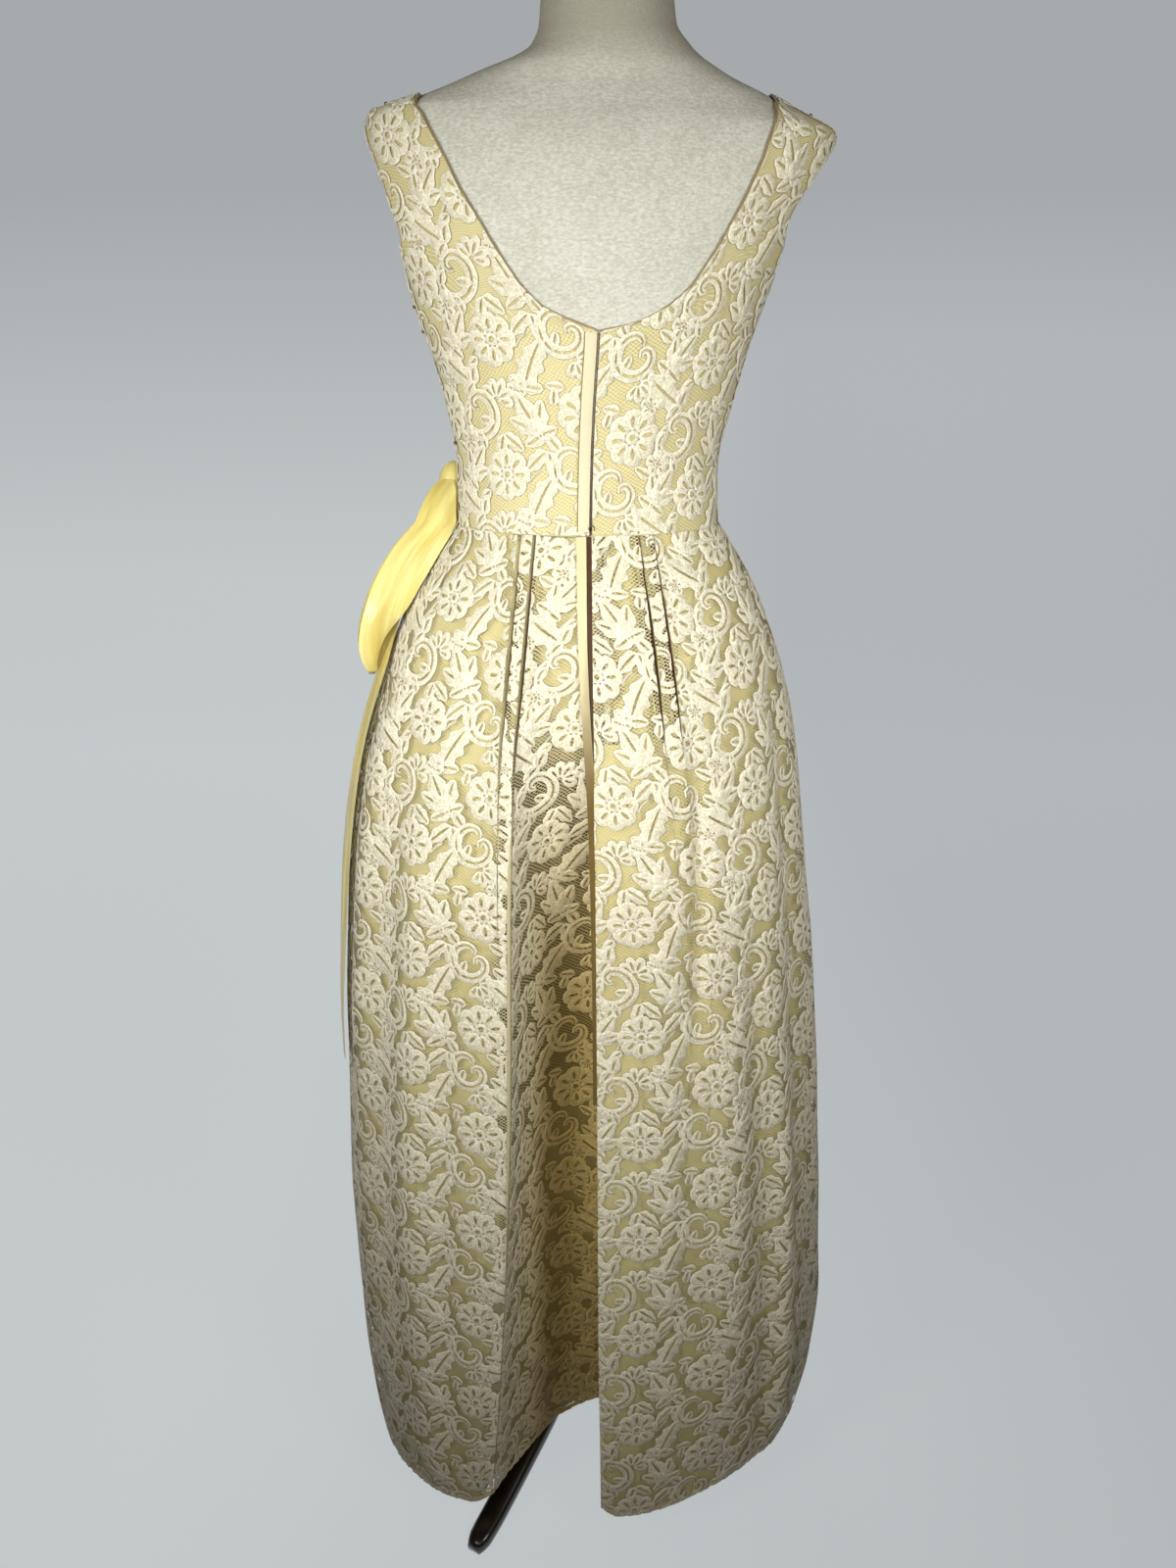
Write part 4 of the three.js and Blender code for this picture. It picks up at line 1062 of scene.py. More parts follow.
class Panel:
    """The columns of a skirt panel, lane by lane between its pleats."""

    def __init__(self, rows, side):
        self.rows = rows[:, None]
        self.z = HEM_Z + self.rows
        self.ring = skirt_sections(self.z)
        self.side = side
        self.angles, self.reliefs, self.sinks, self.bed_shares, self.deeps = [], [], [], [], []
        self.lanes = []
        self.count = 0

    def stores(self):
        return self.angles, self.reliefs, self.sinks, self.bed_shares, self.deeps

    def angle_of(self, x):
        return self.side * angle_at_x(self.ring, x)

    def add(self, angle, relief=0.0, sink=0.0, bed_share=0.0, deep=0.0):
        shape = np.broadcast(angle, self.z).shape
        for store, value in zip(self.stores(), (angle, relief, sink, bed_share, deep)):
            store.append(np.broadcast_to(value, shape))
        self.count += shape[1]

    def add_lanes(self, start, stop, pleats, counts):
        """Lanes from start to stop, with a trench at each pleat between them."""
        begins = start
        for k, columns in enumerate(counts):
            pleat = pleats[k] if k < len(pleats) else None
            ends, following, floor = stop, None, 0.0
            if pleat:
                width, floor = pleat.trench(self.z)
                edge = self.angle_of(pleat.edge(self.z))
                far = self.angle_of(pleat.edge(self.z) + pleat.faces * width)
                ends, following = (edge, far) if pleat.faces == -self.side else (far, edge)
            angle = mix(begins, ends, np.linspace(0, 1, columns)[None, :])
            x = ring_point(self.ring, self.z, angle)[..., 0]
            relief = sum(p.ridge(x, self.z) for p in pleats) + crease_relief(angle, self.z)
            self.lanes.append((self.count, self.count + columns))
            self.add(angle, relief)
            if pleat:
                # Painted shade inside the trench, browner as it deepens.
                trench_shade = smooth((floor - TRENCH_SHADE_FROM) / TRENCH_SHADE_RUN)
                for wall, sunk in ((ends, TRENCH_LIP), (ends, 1), (following, 1), (following, TRENCH_LIP)):
                    self.add(wall, -floor * sunk, deep=trench_shade)
                begins = following

    def round_corner(self, edge_x, way, hem):
        """Shapes the hem of the columns so far by their distance from the fold's edge at edge_x."""
        beside = [way * (ring_point(self.ring, self.z, angle)[..., 0] - edge_x) for angle in self.angles]
        self.bed_shares = [hem(np.maximum(distance, 0)) for distance in beside]

    def build(self, reference):
        """The panel's points, and lengths along the cloth from the column nearest a reference angle."""
        angle, relief, sink, bed, self.deep = (np.concatenate(part, axis=1) for part in self.stores())
        self.points = ring_point(self.ring, self.z, angle, relief)
        self.points[..., 1] -= sink
        shape_hem(self.points, self.rows, bed)
        plain = ring_point(self.ring, self.z, angle)
        plain[..., 1] -= sink
        along = lengths(plain, 1)
        at = int(np.argmin(np.abs(angle[len(angle) // 2] - math.radians(reference))))
        self.along = along - along[:, at:at + 1]
        self.height = lengths(self.points[:, at], 0)
        return self

    def patch(self, first, last):
        return Patch(self.points[:, first:last], self.along[:, first:last], self.height)

    def cloth_places(self):
        return np.stack(np.broadcast_arrays(self.along, self.height[:, None]), -1)


BED_COLUMNS = 34
BED_CROWDING = 1.35  # crowds the bed's columns towards the fold's edge
BED_RIPPLE = 2.2
BED_RIPPLE_TOP_Z = 880.0


def bed_ripple(x, z, edge):
    """Low waves in the fold's bed, which fade towards its edge and the waist."""
    wave = BED_RIPPLE * np.sin(x / 9.0 + z / 130.0)
    return wave * smooth((edge - x) / 25) * smooth((BED_RIPPLE_TOP_Z - z) / 200)


def back_left_panel():
    """From the left side seam to the fold, and over the fold's bed to its underlap."""
    panel = Panel(SKIRT_ROWS, 1)
    fold = back_fold(panel.z)
    panel.add_lanes(SEAM_ANGLE, None, LEFT_PLEATS, (64, 9))
    width, _ = LEFT_PLEATS[1].trench(panel.z)
    x = mix(fold["left_edge"] - width, 0, np.linspace(0, 1, BED_COLUMNS)[None, :] ** BED_CROWDING)
    behind = mix(0, fold["right_edge"] - UNDERLAP, np.linspace(0, 1, 9)[None, 1:])
    x = np.concatenate([x, behind], axis=1)
    across = np.clip((fold["left_edge"] - x) / fold["left_edge"], 0, 1)
    turned_in = fold_turn(across, panel.z)
    panel.round_corner(fold["left_edge"], 1, corner_hem)
    first = panel.count
    ripple = bed_ripple(x, panel.z, fold["left_edge"])
    panel.add(panel.angle_of(x), ripple, fold["depth"] * turned_in, bed_hem(across))
    panel.lanes.append((first, panel.count))
    return panel.build(LACE_REFERENCES["left"])


def back_right_panel():
    panel = Panel(SKIRT_ROWS, 1)
    fold = back_fold(panel.z)
    edge = panel.angle_of(fold["right_edge"])
    panel.add_lanes(edge, math.pi - SEAM_ANGLE, RIGHT_PLEATS, (26, 10, 60))
    panel.round_corner(fold["right_edge"], -1, right_hem)
    return panel.build(LACE_REFERENCES["right"])


def front_panel():
    panel = Panel(SKIRT_ROWS, -1)
    panel.add_lanes(-math.pi + SEAM_ANGLE, -SEAM_ANGLE, FRONT_FOLDS, (50, 9, 32, 9, 50))
    return panel.build(LACE_REFERENCES["front"])


def fold_return(panel):
    """The right panel's cloth behind its edge, running in to the fold's bed."""
    rows, z = SKIRT_ROWS[:, None], panel.z
    fold = back_fold(z)
    share = np.linspace(0, 1, RETURN_COLUMNS)[None, :]
    points = np.repeat(panel.points[:, :1], RETURN_COLUMNS, axis=1)
    points[..., 0] -= RETURN_SLANT * share
    points[..., 1] -= (fold["depth"] - SEAM) * share
    fade = 1 - smooth(rows / HEM_SHAPE_REACH)
    points[..., 2] += BED_HEM_RISE * (BED_RISE - right_hem(0.0)) * share * fade
    return points[:, ::-1]


FACING_BEHIND = 2.3
FACING_WIDTH = 40.0
FACING_HIGH_Z = 850.0
FACING_OVER_HEM = 1.5


def unshaded(points):
    return {"shade": np.zeros(points.shape[:2])}


def fold_facing():
    """The satin that backs the right panel's edge beside the fold."""
    rows = np.linspace(0.0, FACING_HIGH_Z - HEM_Z, 60)[:, None]
    z = HEM_Z + FACING_OVER_HEM + rows
    ring = skirt_sections(z)
    beside = np.linspace(FACING_WIDTH, 1.0, 9)[None, :]
    angle = angle_at_x(ring, back_fold(z)["right_edge"] - beside)
    points = ring_point(ring, z, angle, crease_relief(angle, z) - FACING_BEHIND)
    points = shape_hem(points, rows, right_hem(beside))[:, ::-1]
    return sheet_piece("skirt_fold_facing", points, lining_satin, values=unshaded(points))


def net_piece(name, points, places, deep):
    """A sheet of net that knows how deep it lies in a trench and in the fold, which sets its painted shade,
    and where its hem is.
    """
    hem = np.zeros(points.shape[:2])
    hem[0] = 1.0
    return sheet_piece(name, points, net, places, {"deep": deep, "fold": fold_shade_share(points), "hem": hem})


def skirt_lace(name, panel, lanes, shift):
    return lace_piece("skirt_lace_" + name, [panel.patch(*lane) for lane in lanes], shift)


def make_skirt():
    panels = {"left": back_left_panel(), "right": back_right_panel(), "front": front_panel()}
    pieces = {}
    for name, panel in panels.items():
        pieces[name] = net_piece("skirt_net_" + name, panel.points, panel.cloth_places(), panel.deep)
    back = fold_return(panels["right"])
    along = RETURN_STEP * np.arange(RETURN_COLUMNS)
    places = np.stack(np.broadcast_arrays(along, panels["right"].height[:, None]), -1)
    pieces["return"] = net_piece("skirt_fold_return", back, places, np.zeros(back.shape[:2]))
    pieces["fold_facing"] = fold_facing()
    for name in ("left", "right"):
        pieces[name + "_lace"] = skirt_lace(name, panels[name], panels[name].lanes, LACE_SHIFTS[name])
    front = panels["front"]
    middle, end = front.points.shape[1] // 2, front.points.shape[1]
    for name, (first, last) in {"front_right": (0, middle + 1), "front_left": (middle, end)}.items():
        cut = [(max(a, first), min(b, last)) for a, b in front.lanes]
        lanes = [(a, b) for a, b in cut if b - a > 1]
        pieces[name] = skirt_lace(name, front, lanes, LACE_SHIFTS["front"])
    return pieces


# ---------------------------------------------------------------- satin lining of the skirt
LACE = 2.0
LINING_INSET = 6.0
LINING_HEM_INSET = 1.2
LINING_HEM_EASE = 70.0
LINING_EASE = 180.0
LINING_FOLD_SHIFT = 9.0
LINING_RIGHT_START = 13.0
LINING_RIGHT_RUN = 16.0
LINING_SEAM_ANGLE = 0.004  # its side seams lie a little behind the lace's
LINING_ROWS = np.linspace(0.0, 965.9, 70)[:, None]
LINING_PLEAT_WIDTH = 6.0
# The lining's painted shade in the fold: where it ends on each side and above, how far it takes to
# fade, and how strong it is low down.
SHADE_LEFT_PAST, SHADE_LEFT_RUN = 24.0, 18.0
SHADE_RIGHT_X, SHADE_RIGHT_RUN = -40.0, 20.0
SHADE_HIGH_Z, SHADE_HIGH_RUN = 890.0, 80.0
SHADE_LOW = 0.45
SHADE_LOW_Z, SHADE_LOW_RUN = 380.0, 160.0


def lining_inset(z):
    hung = mix(LACE + SEAM, LINING_INSET, turn_in((WAIST_Z - SEAM - z) / LINING_EASE))
    return mix(LINING_HEM_INSET, hung, smooth((z - LINING_HEM_Z) / LINING_HEM_EASE))


def lining_points(first, last, columns, pleats):
    """A lining before its hem is shaped, with the height and the x of its places."""
    z = LINING_HEM_Z + LINING_ROWS
    ring = skirt_sections(z)
    angle = np.linspace(first, last, columns)[None, :]
    x = ring_point(ring, z, angle)[..., 0]
    relief = crease_relief(angle, z) - lining_inset(z)
    for pleat in pleats:
        width, depth = pleat.trench(z)
        off = x - pleat.edge(z) - pleat.faces * width / 2
        relief -= (depth + 1) * np.exp(-((off / LINING_PLEAT_WIDTH) ** 2)) * smooth(depth)
    return ring_point(ring, z, angle, relief), z, x


def lay_in_fold(points, z, x):
    """Lays the back lining round the open fold, and gives its painted shade there."""
    fold = back_fold(z)
    start = fold["left_edge"] + LINING_FOLD_SHIFT
    depth = fold["depth"] + lining_stand_off(z)["extra"]
    climb = 1 - smooth((fold["right_edge"] - LINING_RIGHT_START - x) / LINING_RIGHT_RUN)
    points[..., 1] -= depth * np.where(x > 0, fold_turn((start - x) / start, z), climb)
    left_bed = np.where(x < start, bed_hem(np.clip((start - x) / start, 0, 1)), 0.0)
    left_share = np.maximum(corner_hem(np.maximum(0, x - fold["left_edge"])), left_bed)
    right_share = mix(right_hem(np.maximum(0, fold["right_edge"] - x)), BED_RISE, climb)
    shape_hem(points, LINING_ROWS, np.where(x > 0, left_share, right_share))
    near = smooth((fold["left_edge"] + SHADE_LEFT_PAST - x) / SHADE_LEFT_RUN)
    near = near * smooth((x - SHADE_RIGHT_X) / SHADE_RIGHT_RUN)
    rising = mix(SHADE_LOW, 1.0, smooth((z - SHADE_LOW_Z) / SHADE_LOW_RUN))
    return near * rising * smooth((SHADE_HIGH_Z - z) / SHADE_HIGH_RUN)


def make_lining():
    seam = LINING_SEAM_ANGLE + SEAM_ANGLE
    back, z, x = lining_points(seam, math.pi - seam, 190, LEFT_PLEATS + RIGHT_PLEATS)
    shade = lay_in_fold(back, z, x)
    front = lining_points(-math.pi - LINING_SEAM_ANGLE, LINING_SEAM_ANGLE, 130, FRONT_FOLDS)[0]
    shape_hem(front, LINING_ROWS)
    return {
        "back": sheet_piece("lining_back", back, lining_satin, values={"shade": shade}),
        "front": sheet_piece("lining_front", front, lining_satin, values=unshaded(front)),
    }


# ---------------------------------------------------------------- bodice
SIDE_SEAM_ANGLE = math.radians(0.12)


def neckline(side, back):
    if back < 0:
        return front_neck
    return back_neck_left if side > 0 else back_neck_right


def edge_path(level, edge):
    """Angle and height along an edge: straight up from the waist to level 1, then the edge itself to 2."""
    over = edge(np.clip(level - 1, 0, 1))
    start = edge(0.0)
    climbing = level <= 1
    angle = np.where(climbing, start["angle"], over["angle"])
    z = np.where(climbing, mix(WAIST_Z + SEAM, start["z"], np.minimum(level, 1)), over["z"])
    return angle, z


def round_gown(angle, side, back):
    """An angle from a half's own side seam as an angle round the gown."""
    return back * (angle if side > 0 else math.pi - angle)


def bodice_point(u, level, side, back, gap, out=0.0):
    """A point of half the bodice, from its centre and neckline at u 0 to its side and armhole at u 1."""
    neck_angle, neck_z = edge_path(level, neckline(side, back))
    arm_angle, arm_z = edge_path(level, armhole)
    climb = np.maximum(0, arm_z - UNDERARM_Z) / (SHOULDER_TIP_Z - UNDERARM_Z)
    drop = SHOULDER_DROP_RIGHT * climb if side < 0 else 0.0
    z = mix(neck_z, arm_z - drop, u)
    ring = body_sections(z)
    gap_angle = gap / ring["left" if side > 0 else "right"]
    angle = np.radians(mix(neck_angle, arm_angle, u))
    angle = np.clip(angle, SIDE_SEAM_ANGLE, math.pi / 2 - gap_angle)
    return ring_point(ring, z, round_gown(angle, side, back), out)


def outward(grid, side, back):
    """Puts the columns in counter-clockwise order."""
    return grid[:, ::-1] if side * back > 0 else grid


def bodice_shell(side, back, gap):
    level = np.concatenate([np.linspace(0, 1, 26), np.linspace(1, 2, 60)[1:]])[:, None]
    u = np.linspace(0, 1, 44)[None, :]
    return outward(bodice_point(u, level, side, back, gap), side, back)


BODICE_REFERENCE = 57.0  # degrees, where the lace's repeat is counted from
BODICE_LACE_OUT = 0.5
BODICE_MIDDLE = 40.0  # degrees, where the lace's height on the cloth is measured
SWEEP = np.linspace(0, 90, 181)


def bodice_patch(side, back, gap):
    """Level rows over half a panel, between its neckline and armhole, for laying the lace."""
    z = np.linspace(WAIST_Z + SEAM, SHOULDER_SEAM_Z - 0.5, 90)[:, None]
    neck = neckline(side, back)
    neck_limit = np.interp(z, neck.y[:, 1], neck.y[:, 0])
    drop = SHOULDER_DROP_RIGHT if side < 0 else 0.0
    climb = (armhole.y[:, 1] - UNDERARM_Z) / (SHOULDER_TIP_Z - UNDERARM_Z)
    arm_limit = np.interp(z, armhole.y[:, 1] - drop * climb, armhole.y[:, 0])
    ring = body_sections(z)
    most = 90 - np.degrees(gap / ring["left"])
    degrees = mix(np.minimum(neck_limit, most), arm_limit, np.linspace(0, 1, 48)[None, :])
    arcs = lengths(ring_point(ring, z, np.radians(SWEEP)[None, :]), 1)
    reach = np.array([np.interp(row, SWEEP, arc) for row, arc in zip(degrees, arcs)])
    reference = np.array([[np.interp(BODICE_REFERENCE, SWEEP, arc)] for arc in arcs])
    along = (reach - reference) * (1 if side * back > 0 else -1)
    points = ring_point(ring, z, round_gown(np.radians(degrees), side, back), BODICE_LACE_OUT)
    height = lengths(ring_point(ring, z, math.radians(BODICE_MIDDLE))[:, 0], 0)
    return Patch(outward(points, side, back), outward(along, side, back), height)


# Side and face of each half of the bodice, and the gap it leaves at the centre.
BODICE_HALVES = {
    "back_left": (1, 1, BACK_OPENING / 2),
    "back_right": (-1, 1, BACK_OPENING / 2),
    "front_left": (1, -1, 0.0),
    "front_right": (-1, -1, 0.0),
}
BODICE_SHIFTS = {
    "back_left": (40, 70),
    "back_right": (-58, 52),
    "front_left": (12, 20),
    "front_right": (-64, 20),
}


def make_bodice():
    pieces = {}
    for name, half in BODICE_HALVES.items():
        shell = bodice_shell(*half)
        pieces[name] = sheet_piece("bodice_" + name + "_ground", shell, mounted, surface_lengths(shell))
        lace = lace_piece("bodice_" + name + "_lace", [bodice_patch(*half)], BODICE_SHIFTS[name])
        pieces[name + "_lace"] = lace
    return pieces


EDGE_STEPS = 48
EDGE_OUT = -0.6
EDGES = (("neck", 0.0, 0.85), ("arm", 1.0, 0.9))  # name, u across the half, radius
WAIST_SEAM_R = 1.1
WAIST_SEAM_OUT = -0.2
WAIST_SEAM_STOPS = 9.0  # short of the opening on the back's left half, where the placket lies


def make_edges():
    """A thin rolled edge along the neckline and the armholes."""
    levels = np.linspace(1, 2, EDGE_STEPS)
    pieces = {}
    for name, half in BODICE_HALVES.items():
        for edge, u, radius in EDGES:
            path = bodice_point(np.full(EDGE_STEPS, u), levels, *half, EDGE_OUT)
            pieces[edge + "_" + name] = tube_piece(edge + "_edge_" + name, path, radius, edge_cloth)
    return pieces


def make_waist_seam():
    """The seam allowance's soft roll round the waist, between the bodice and the skirt."""
    ring = body_sections(WAIST_Z)
    pieces = {}
    for name, (side, back, gap) in BODICE_HALVES.items():
        short = gap + (WAIST_SEAM_STOPS if name == "back_left" else 0)
        angle = np.linspace(SIDE_SEAM_ANGLE, math.pi / 2 - short / ring["left"], 60)
        path = ring_point(ring, WAIST_Z, round_gown(angle, side, back), WAIST_SEAM_OUT)
        pieces[name] = tube_piece("waist_seam_" + name, path, WAIST_SEAM_R, cream_tape)
    return pieces


# ---------------------------------------------------------------- zip and placket
PLACKET_LOW_Z = WAIST_Z + 3
PLACKET_HIGH_Z = 1170.0
PLACKET_WIDTH = 9.5
PLACKET_ROWS = np.linspace(PLACKET_LOW_Z, PLACKET_HIGH_Z, 60)
FLAP_OUT = 1.4
STRIP_CROWN = 0.7
PIPING_OUT = 1.3
PIPING_R = 0.55
ZIP_TAPE_PAST = 1.5
ZIP_TAPE_OUT = -1.8
TEETH = 98
TEETH_LOW_Z = PLACKET_LOW_Z + 5
TOOTH_STEP = 1.55
TOOTH_ASIDE = 0.35
TOOTH_OUT = -1.1
TOOTH_HALF = (0.55, 0.5, 0.45)


def on_back(z, x, out):
    """Points of the bodice's back, from x beside its centre line and a distance off its face."""
    ring = body_sections(z)
    return ring_point(ring, z, angle_at_x(ring, ring["centre"] + x), out)


def centre_strip(name, from_x, to_x, out, material, across=7):
    """An upright strip of cloth on the bodice's centre back, crowned a little across its width."""
    w = np.linspace(0, 1, across)[None, :]
    crown = STRIP_CROWN * np.sin(math.pi * w) ** 0.5
    grid = on_back(PLACKET_ROWS[:, None], mix(to_x, from_x, w), out + crown)
    return sheet_piece(name, grid, material, surface_lengths(grid))


def zip_teeth():
    k = np.arange(TEETH)
    centres = on_back(TEETH_LOW_Z + k * TOOTH_STEP, np.where(k % 2, TOOTH_ASIDE, -TOOTH_ASIDE), TOOTH_OUT)
    return boxes_piece("zip_teeth", centres, TOOTH_HALF, steel)


def make_placket():
    half = BACK_OPENING / 2
    tape_half = half + ZIP_TAPE_PAST
    far = half + PLACKET_WIDTH
    far_edge = on_back(PLACKET_ROWS, far, PIPING_OUT)
    return {
        "flap": centre_strip("zip_flap", half, far, FLAP_OUT, flap_satin),
        "tape": centre_strip("zip_tape", -tape_half, tape_half, ZIP_TAPE_OUT, shadow_brown_tape, across=4),
        "piping": tube_piece("zip_flap_piping", far_edge, PIPING_R, edge_cloth),
        "teeth": zip_teeth(),
    }


BEADS = ((1340, 12), (1191, 12), (1172, 11), (1083, 14), (1331, 166))  # height and angle in degrees
BEAD_R = 1.5
BEAD_OUT = 2.2
HOOK_Z = 1019.0
HOOK_R = 2.4
HOOK_WIRE_R = 0.5
HOOK_OUT = 2.6


def make_trims():
    """Small dark beads sewn on the bodice, and the hook at the foot of the zip."""
    pieces = {}
    a = np.linspace(-math.pi / 2, math.pi / 2, 9)[1:-1]
    ball = lathe_rings(np.stack([BEAD_R * np.cos(a), BEAD_R * np.sin(a)], 1), 12)
    for k, (z, degrees) in enumerate(BEADS):
        place = gown_point(z, math.radians(degrees), BEAD_OUT)
        pieces["bead_%d" % k] = loft_piece("bodice_bead_%d" % (k + 1), ball + place, steel)
    turn = np.linspace(-0.4, 1.25 * math.pi, 20)
    middle = gown_point(HOOK_Z, math.pi / 2, HOOK_OUT)
    path = middle + np.stack([HOOK_R * np.cos(turn) - 1.0, 0 * turn, HOOK_R * np.sin(turn)], 1)
    pieces["hook"] = tube_piece("waist_hook", path, HOOK_WIRE_R, steel)
    return pieces


# The opening below the waist: a facing strip over a dark tape, a sheet of painted shadow, between the
# fold's bed and the right panel.
skirt_opening = Table("z facing_left facing_right tape_left", [
    (470, -5, -13, -5), (616, -3.6, -13, -4), (715, -1.7, -13, -3), (773, 0, -12, -2), (812, 1.6, -7, -1),
    (846, 3.6, -3.6, 0), (890, 6.2, -1.0, 2), (933, 8, 0.6, 4), (1011, 9.5, 1.4, 5),
])
TAPE_RIGHT_X = -13.0
FACING_END_Z = 470.0
FACING_OUT = 3.4
TAPE_END_Z = 760.0
TAPE_OUT = 2.4
FACING_SHADE_Z = 780.0
FACING_SHADE_RUN = 170.0


def bed_strip(name, left, right, low_z, out, material):
    """A strip down the fold's bed, between two of the table's columns or from one to TAPE_RIGHT_X."""
    z = np.linspace(low_z, WAIST_Z - 1.5, 70)[:, None]
    at = skirt_opening(z)
    x = mix(at[left], at[right] if right else TAPE_RIGHT_X, np.linspace(0, 1, 7)[None, :])
    ring = skirt_sections(z)
    grid = ring_point(ring, z, angle_at_x(ring, x), out)
    grid[..., 1] -= back_fold(z)["depth"]
    shade = 1 - smooth((z - FACING_SHADE_Z) / FACING_SHADE_RUN) + 0 * x
    return sheet_piece(name, grid, material, surface_lengths(grid), {"shade": shade})


FOLD_BAND_LOW_Z = 300.0
FOLD_BAND_HIGH_Z = 800.0
FOLD_BAND_WIDTH = 3.4
FOLD_BAND_LEAST = 0.2
FOLD_BAND_LOW_RUN, FOLD_BAND_HIGH_RUN = 200.0, 60.0
FOLD_BAND_OUT = 3.0
FOLD_BAND_CROWN = 2.0
FOLD_BAND_OVER = 0.6


def fold_edge_band():
    """The bare pressed edge of the left panel, along the open fold."""
    z = np.linspace(FOLD_BAND_LOW_Z, FOLD_BAND_HIGH_Z, 80)[:, None]
    ring = skirt_sections(z)
    width = FOLD_BAND_WIDTH * smooth((z - FOLD_BAND_LOW_Z) / FOLD_BAND_LOW_RUN)
    width = width * smooth((FOLD_BAND_HIGH_Z - z) / FOLD_BAND_HIGH_RUN) + FOLD_BAND_LEAST
    x = back_fold(z)["left_edge"] - FOLD_BAND_OVER + width * np.linspace(1, 0, 5)[None, :]
    out = FOLD_BAND_OUT - FOLD_BAND_CROWN * np.linspace(-1, 1, 5)[None, :] ** 2
    grid = shape_hem(ring_point(ring, z, angle_at_x(ring, x), out), z - HEM_Z)
    return sheet_piece("fold_edge_band", grid[:, ::-1], cream_tape, surface_lengths(grid))


def make_skirt_opening():
    facing = ("facing_left", "facing_right", FACING_END_Z, FACING_OUT, facing_satin)
    tape = ("tape_left", None, TAPE_END_Z, TAPE_OUT, shadow_brown_tape)
    return {
        "edge": fold_edge_band(),
        "facing": bed_strip("skirt_opening_facing", *facing),
        "tape": bed_strip("skirt_opening_shadow_tape", *tape),
    }


CUBE = np.array([(x, y, z) for z in (-1, 1) for x, y in ((-1, -1), (1, -1), (1, 1), (-1, 1))], float)
CUBE_FACES = np.array([(3, 2, 1, 0), (4, 5, 6, 7), (0, 1, 5, 4), (1, 2, 6, 5), (2, 3, 7, 6), (3, 0, 4, 7)])


def boxes_piece(name, centres, half, material):
    points = centres[:, None] + CUBE * np.array(half)
    faces = (np.arange(len(centres))[:, None, None] * 8 + CUBE_FACES).reshape(-1, 4)
    return mesh_piece(name, points, faces, material, smooth_faces=False)


# ---------------------------------------------------------------- bow at the left hip
KNOT_Z = 1046.0
KNOT_ANGLE = math.radians(-15)
KNOT_OUT = 11.0
KNOT_HALF = (14.0, 17.0, 19.0)
KNOT_FOLD, KNOT_CREASE = 0.045, 0.03
BOW_EASE = 0.97  # the satin's size beside the solids'
loop_path = Table("share z radial half gap turn", [
    (0, 1050, 13, 6, 3, 0), (0.08, 1041, 15, 12, 6, 0.15), (0.2, 1016, 21, 18.5, 10, 0.4),
    (0.34, 993, 24, 22.5, 12, 0.7), (0.46, 976, 24, 22.5, 12, 0.85), (0.68, 937, 22, 19, 12, 1),
    (0.84, 908, 19, 13.5, 9, 1), (0.95, 890, 14, 7, 5, 1), (1, 883, 12, 2.5, 1.2, 1),
])


def knot_piece():
    """A gathered ball of satin, turned to the gown's side."""
    a = np.linspace(0, 2 * math.pi, 48, endpoint=False)[None, :]
    b = np.linspace(-math.pi / 2, math.pi / 2, 30)[1:-1, None]
    gathers = 1 + KNOT_FOLD * np.sin(7 * a + 2.0 * b) + KNOT_CREASE * np.sin(11 * a - 1.0)
    x = KNOT_HALF[0] * np.cos(b) * np.cos(a) * gathers
    y = KNOT_HALF[1] * np.cos(b) * np.sin(a) * gathers
    z = KNOT_HALF[2] * np.sin(b) + 0 * a
    c, s = math.cos(KNOT_ANGLE), math.sin(KNOT_ANGLE)
    rings = np.stack([c * x - s * y, s * x + c * y, z], -1) * BOW_EASE
    rings += gown_point(KNOT_Z, KNOT_ANGLE, KNOT_OUT)
    return loft_piece("bow_knot_satin", rings, ribbon_satin)


LOOP_MOUTH = 0.55  # how far the loop's near layer draws back, so that its inside shows
LOOP_STEPS = 34
LOOP_ACROSS = 17
LOOP_TURN = 1.5  # how many rows the loop's end takes to turn back


def loop_piece(name, start, end, phase):
    """A loop's two layers in one sheet: from the knot out to its end, and back."""
    w = np.linspace(1, -1, LOOP_ACROSS)[None, :]
    k = np.arange(2 * LOOP_STEPS + 1)[:, None]
    share = 1 - np.abs(k / LOOP_STEPS - 1)
    layer = np.tanh((LOOP_STEPS - k) / LOOP_TURN)
    at = loop_path(share)
    angle = mix(start, end, at["turn"])
    fan_out = 1 - 0.55 * share
    crease = 0.9 * np.sin(4.6 * w * fan_out + phase) * np.sin(math.pi * np.clip(share * 1.05, 0, 1)) ** 0.6
    crease += 0.8 * np.sin(11.0 * w * fan_out - 1.7 * phase) * (1 - share) ** 2 * share * 5
    bulge = at["gap"] * (1 - 0.25 * w * w) + crease
    mouth = smooth((share - 0.62) / 0.2) * smooth((1 - share) / 0.08) * smooth(layer)
    reach = np.where(w < 0, w * (1 - LOOP_MOUTH * mouth), w)
    points = gown_point(at["z"] + 0 * w, angle + 0 * w, at["radial"] + reach * at["half"] * BOW_EASE)
    sideways = np.stack([-np.sin(angle), np.cos(angle), 0 * angle], -1)
    points = points + sideways * (layer * bulge)[..., None]
    return sheet_piece(name, points, ribbon_satin, surface_lengths(points))


TAIL_START_Z = KNOT_Z - 6
TAIL_HALF_WIDTH = 28.0
TAIL_STAND_OFF = 3.0  # of one of its edges, at its cut end
TAIL_OUT = 2.2
TAIL_TURNS_AT = 0.72  # share of the way up, where it leaves its fall for the knot
TAIL_NARROWS_AT = 0.7
TAIL_AT_KNOT = 0.3  # of its width
TAIL_RIPPLE = 1.2
TAIL_CREASE = 1.1


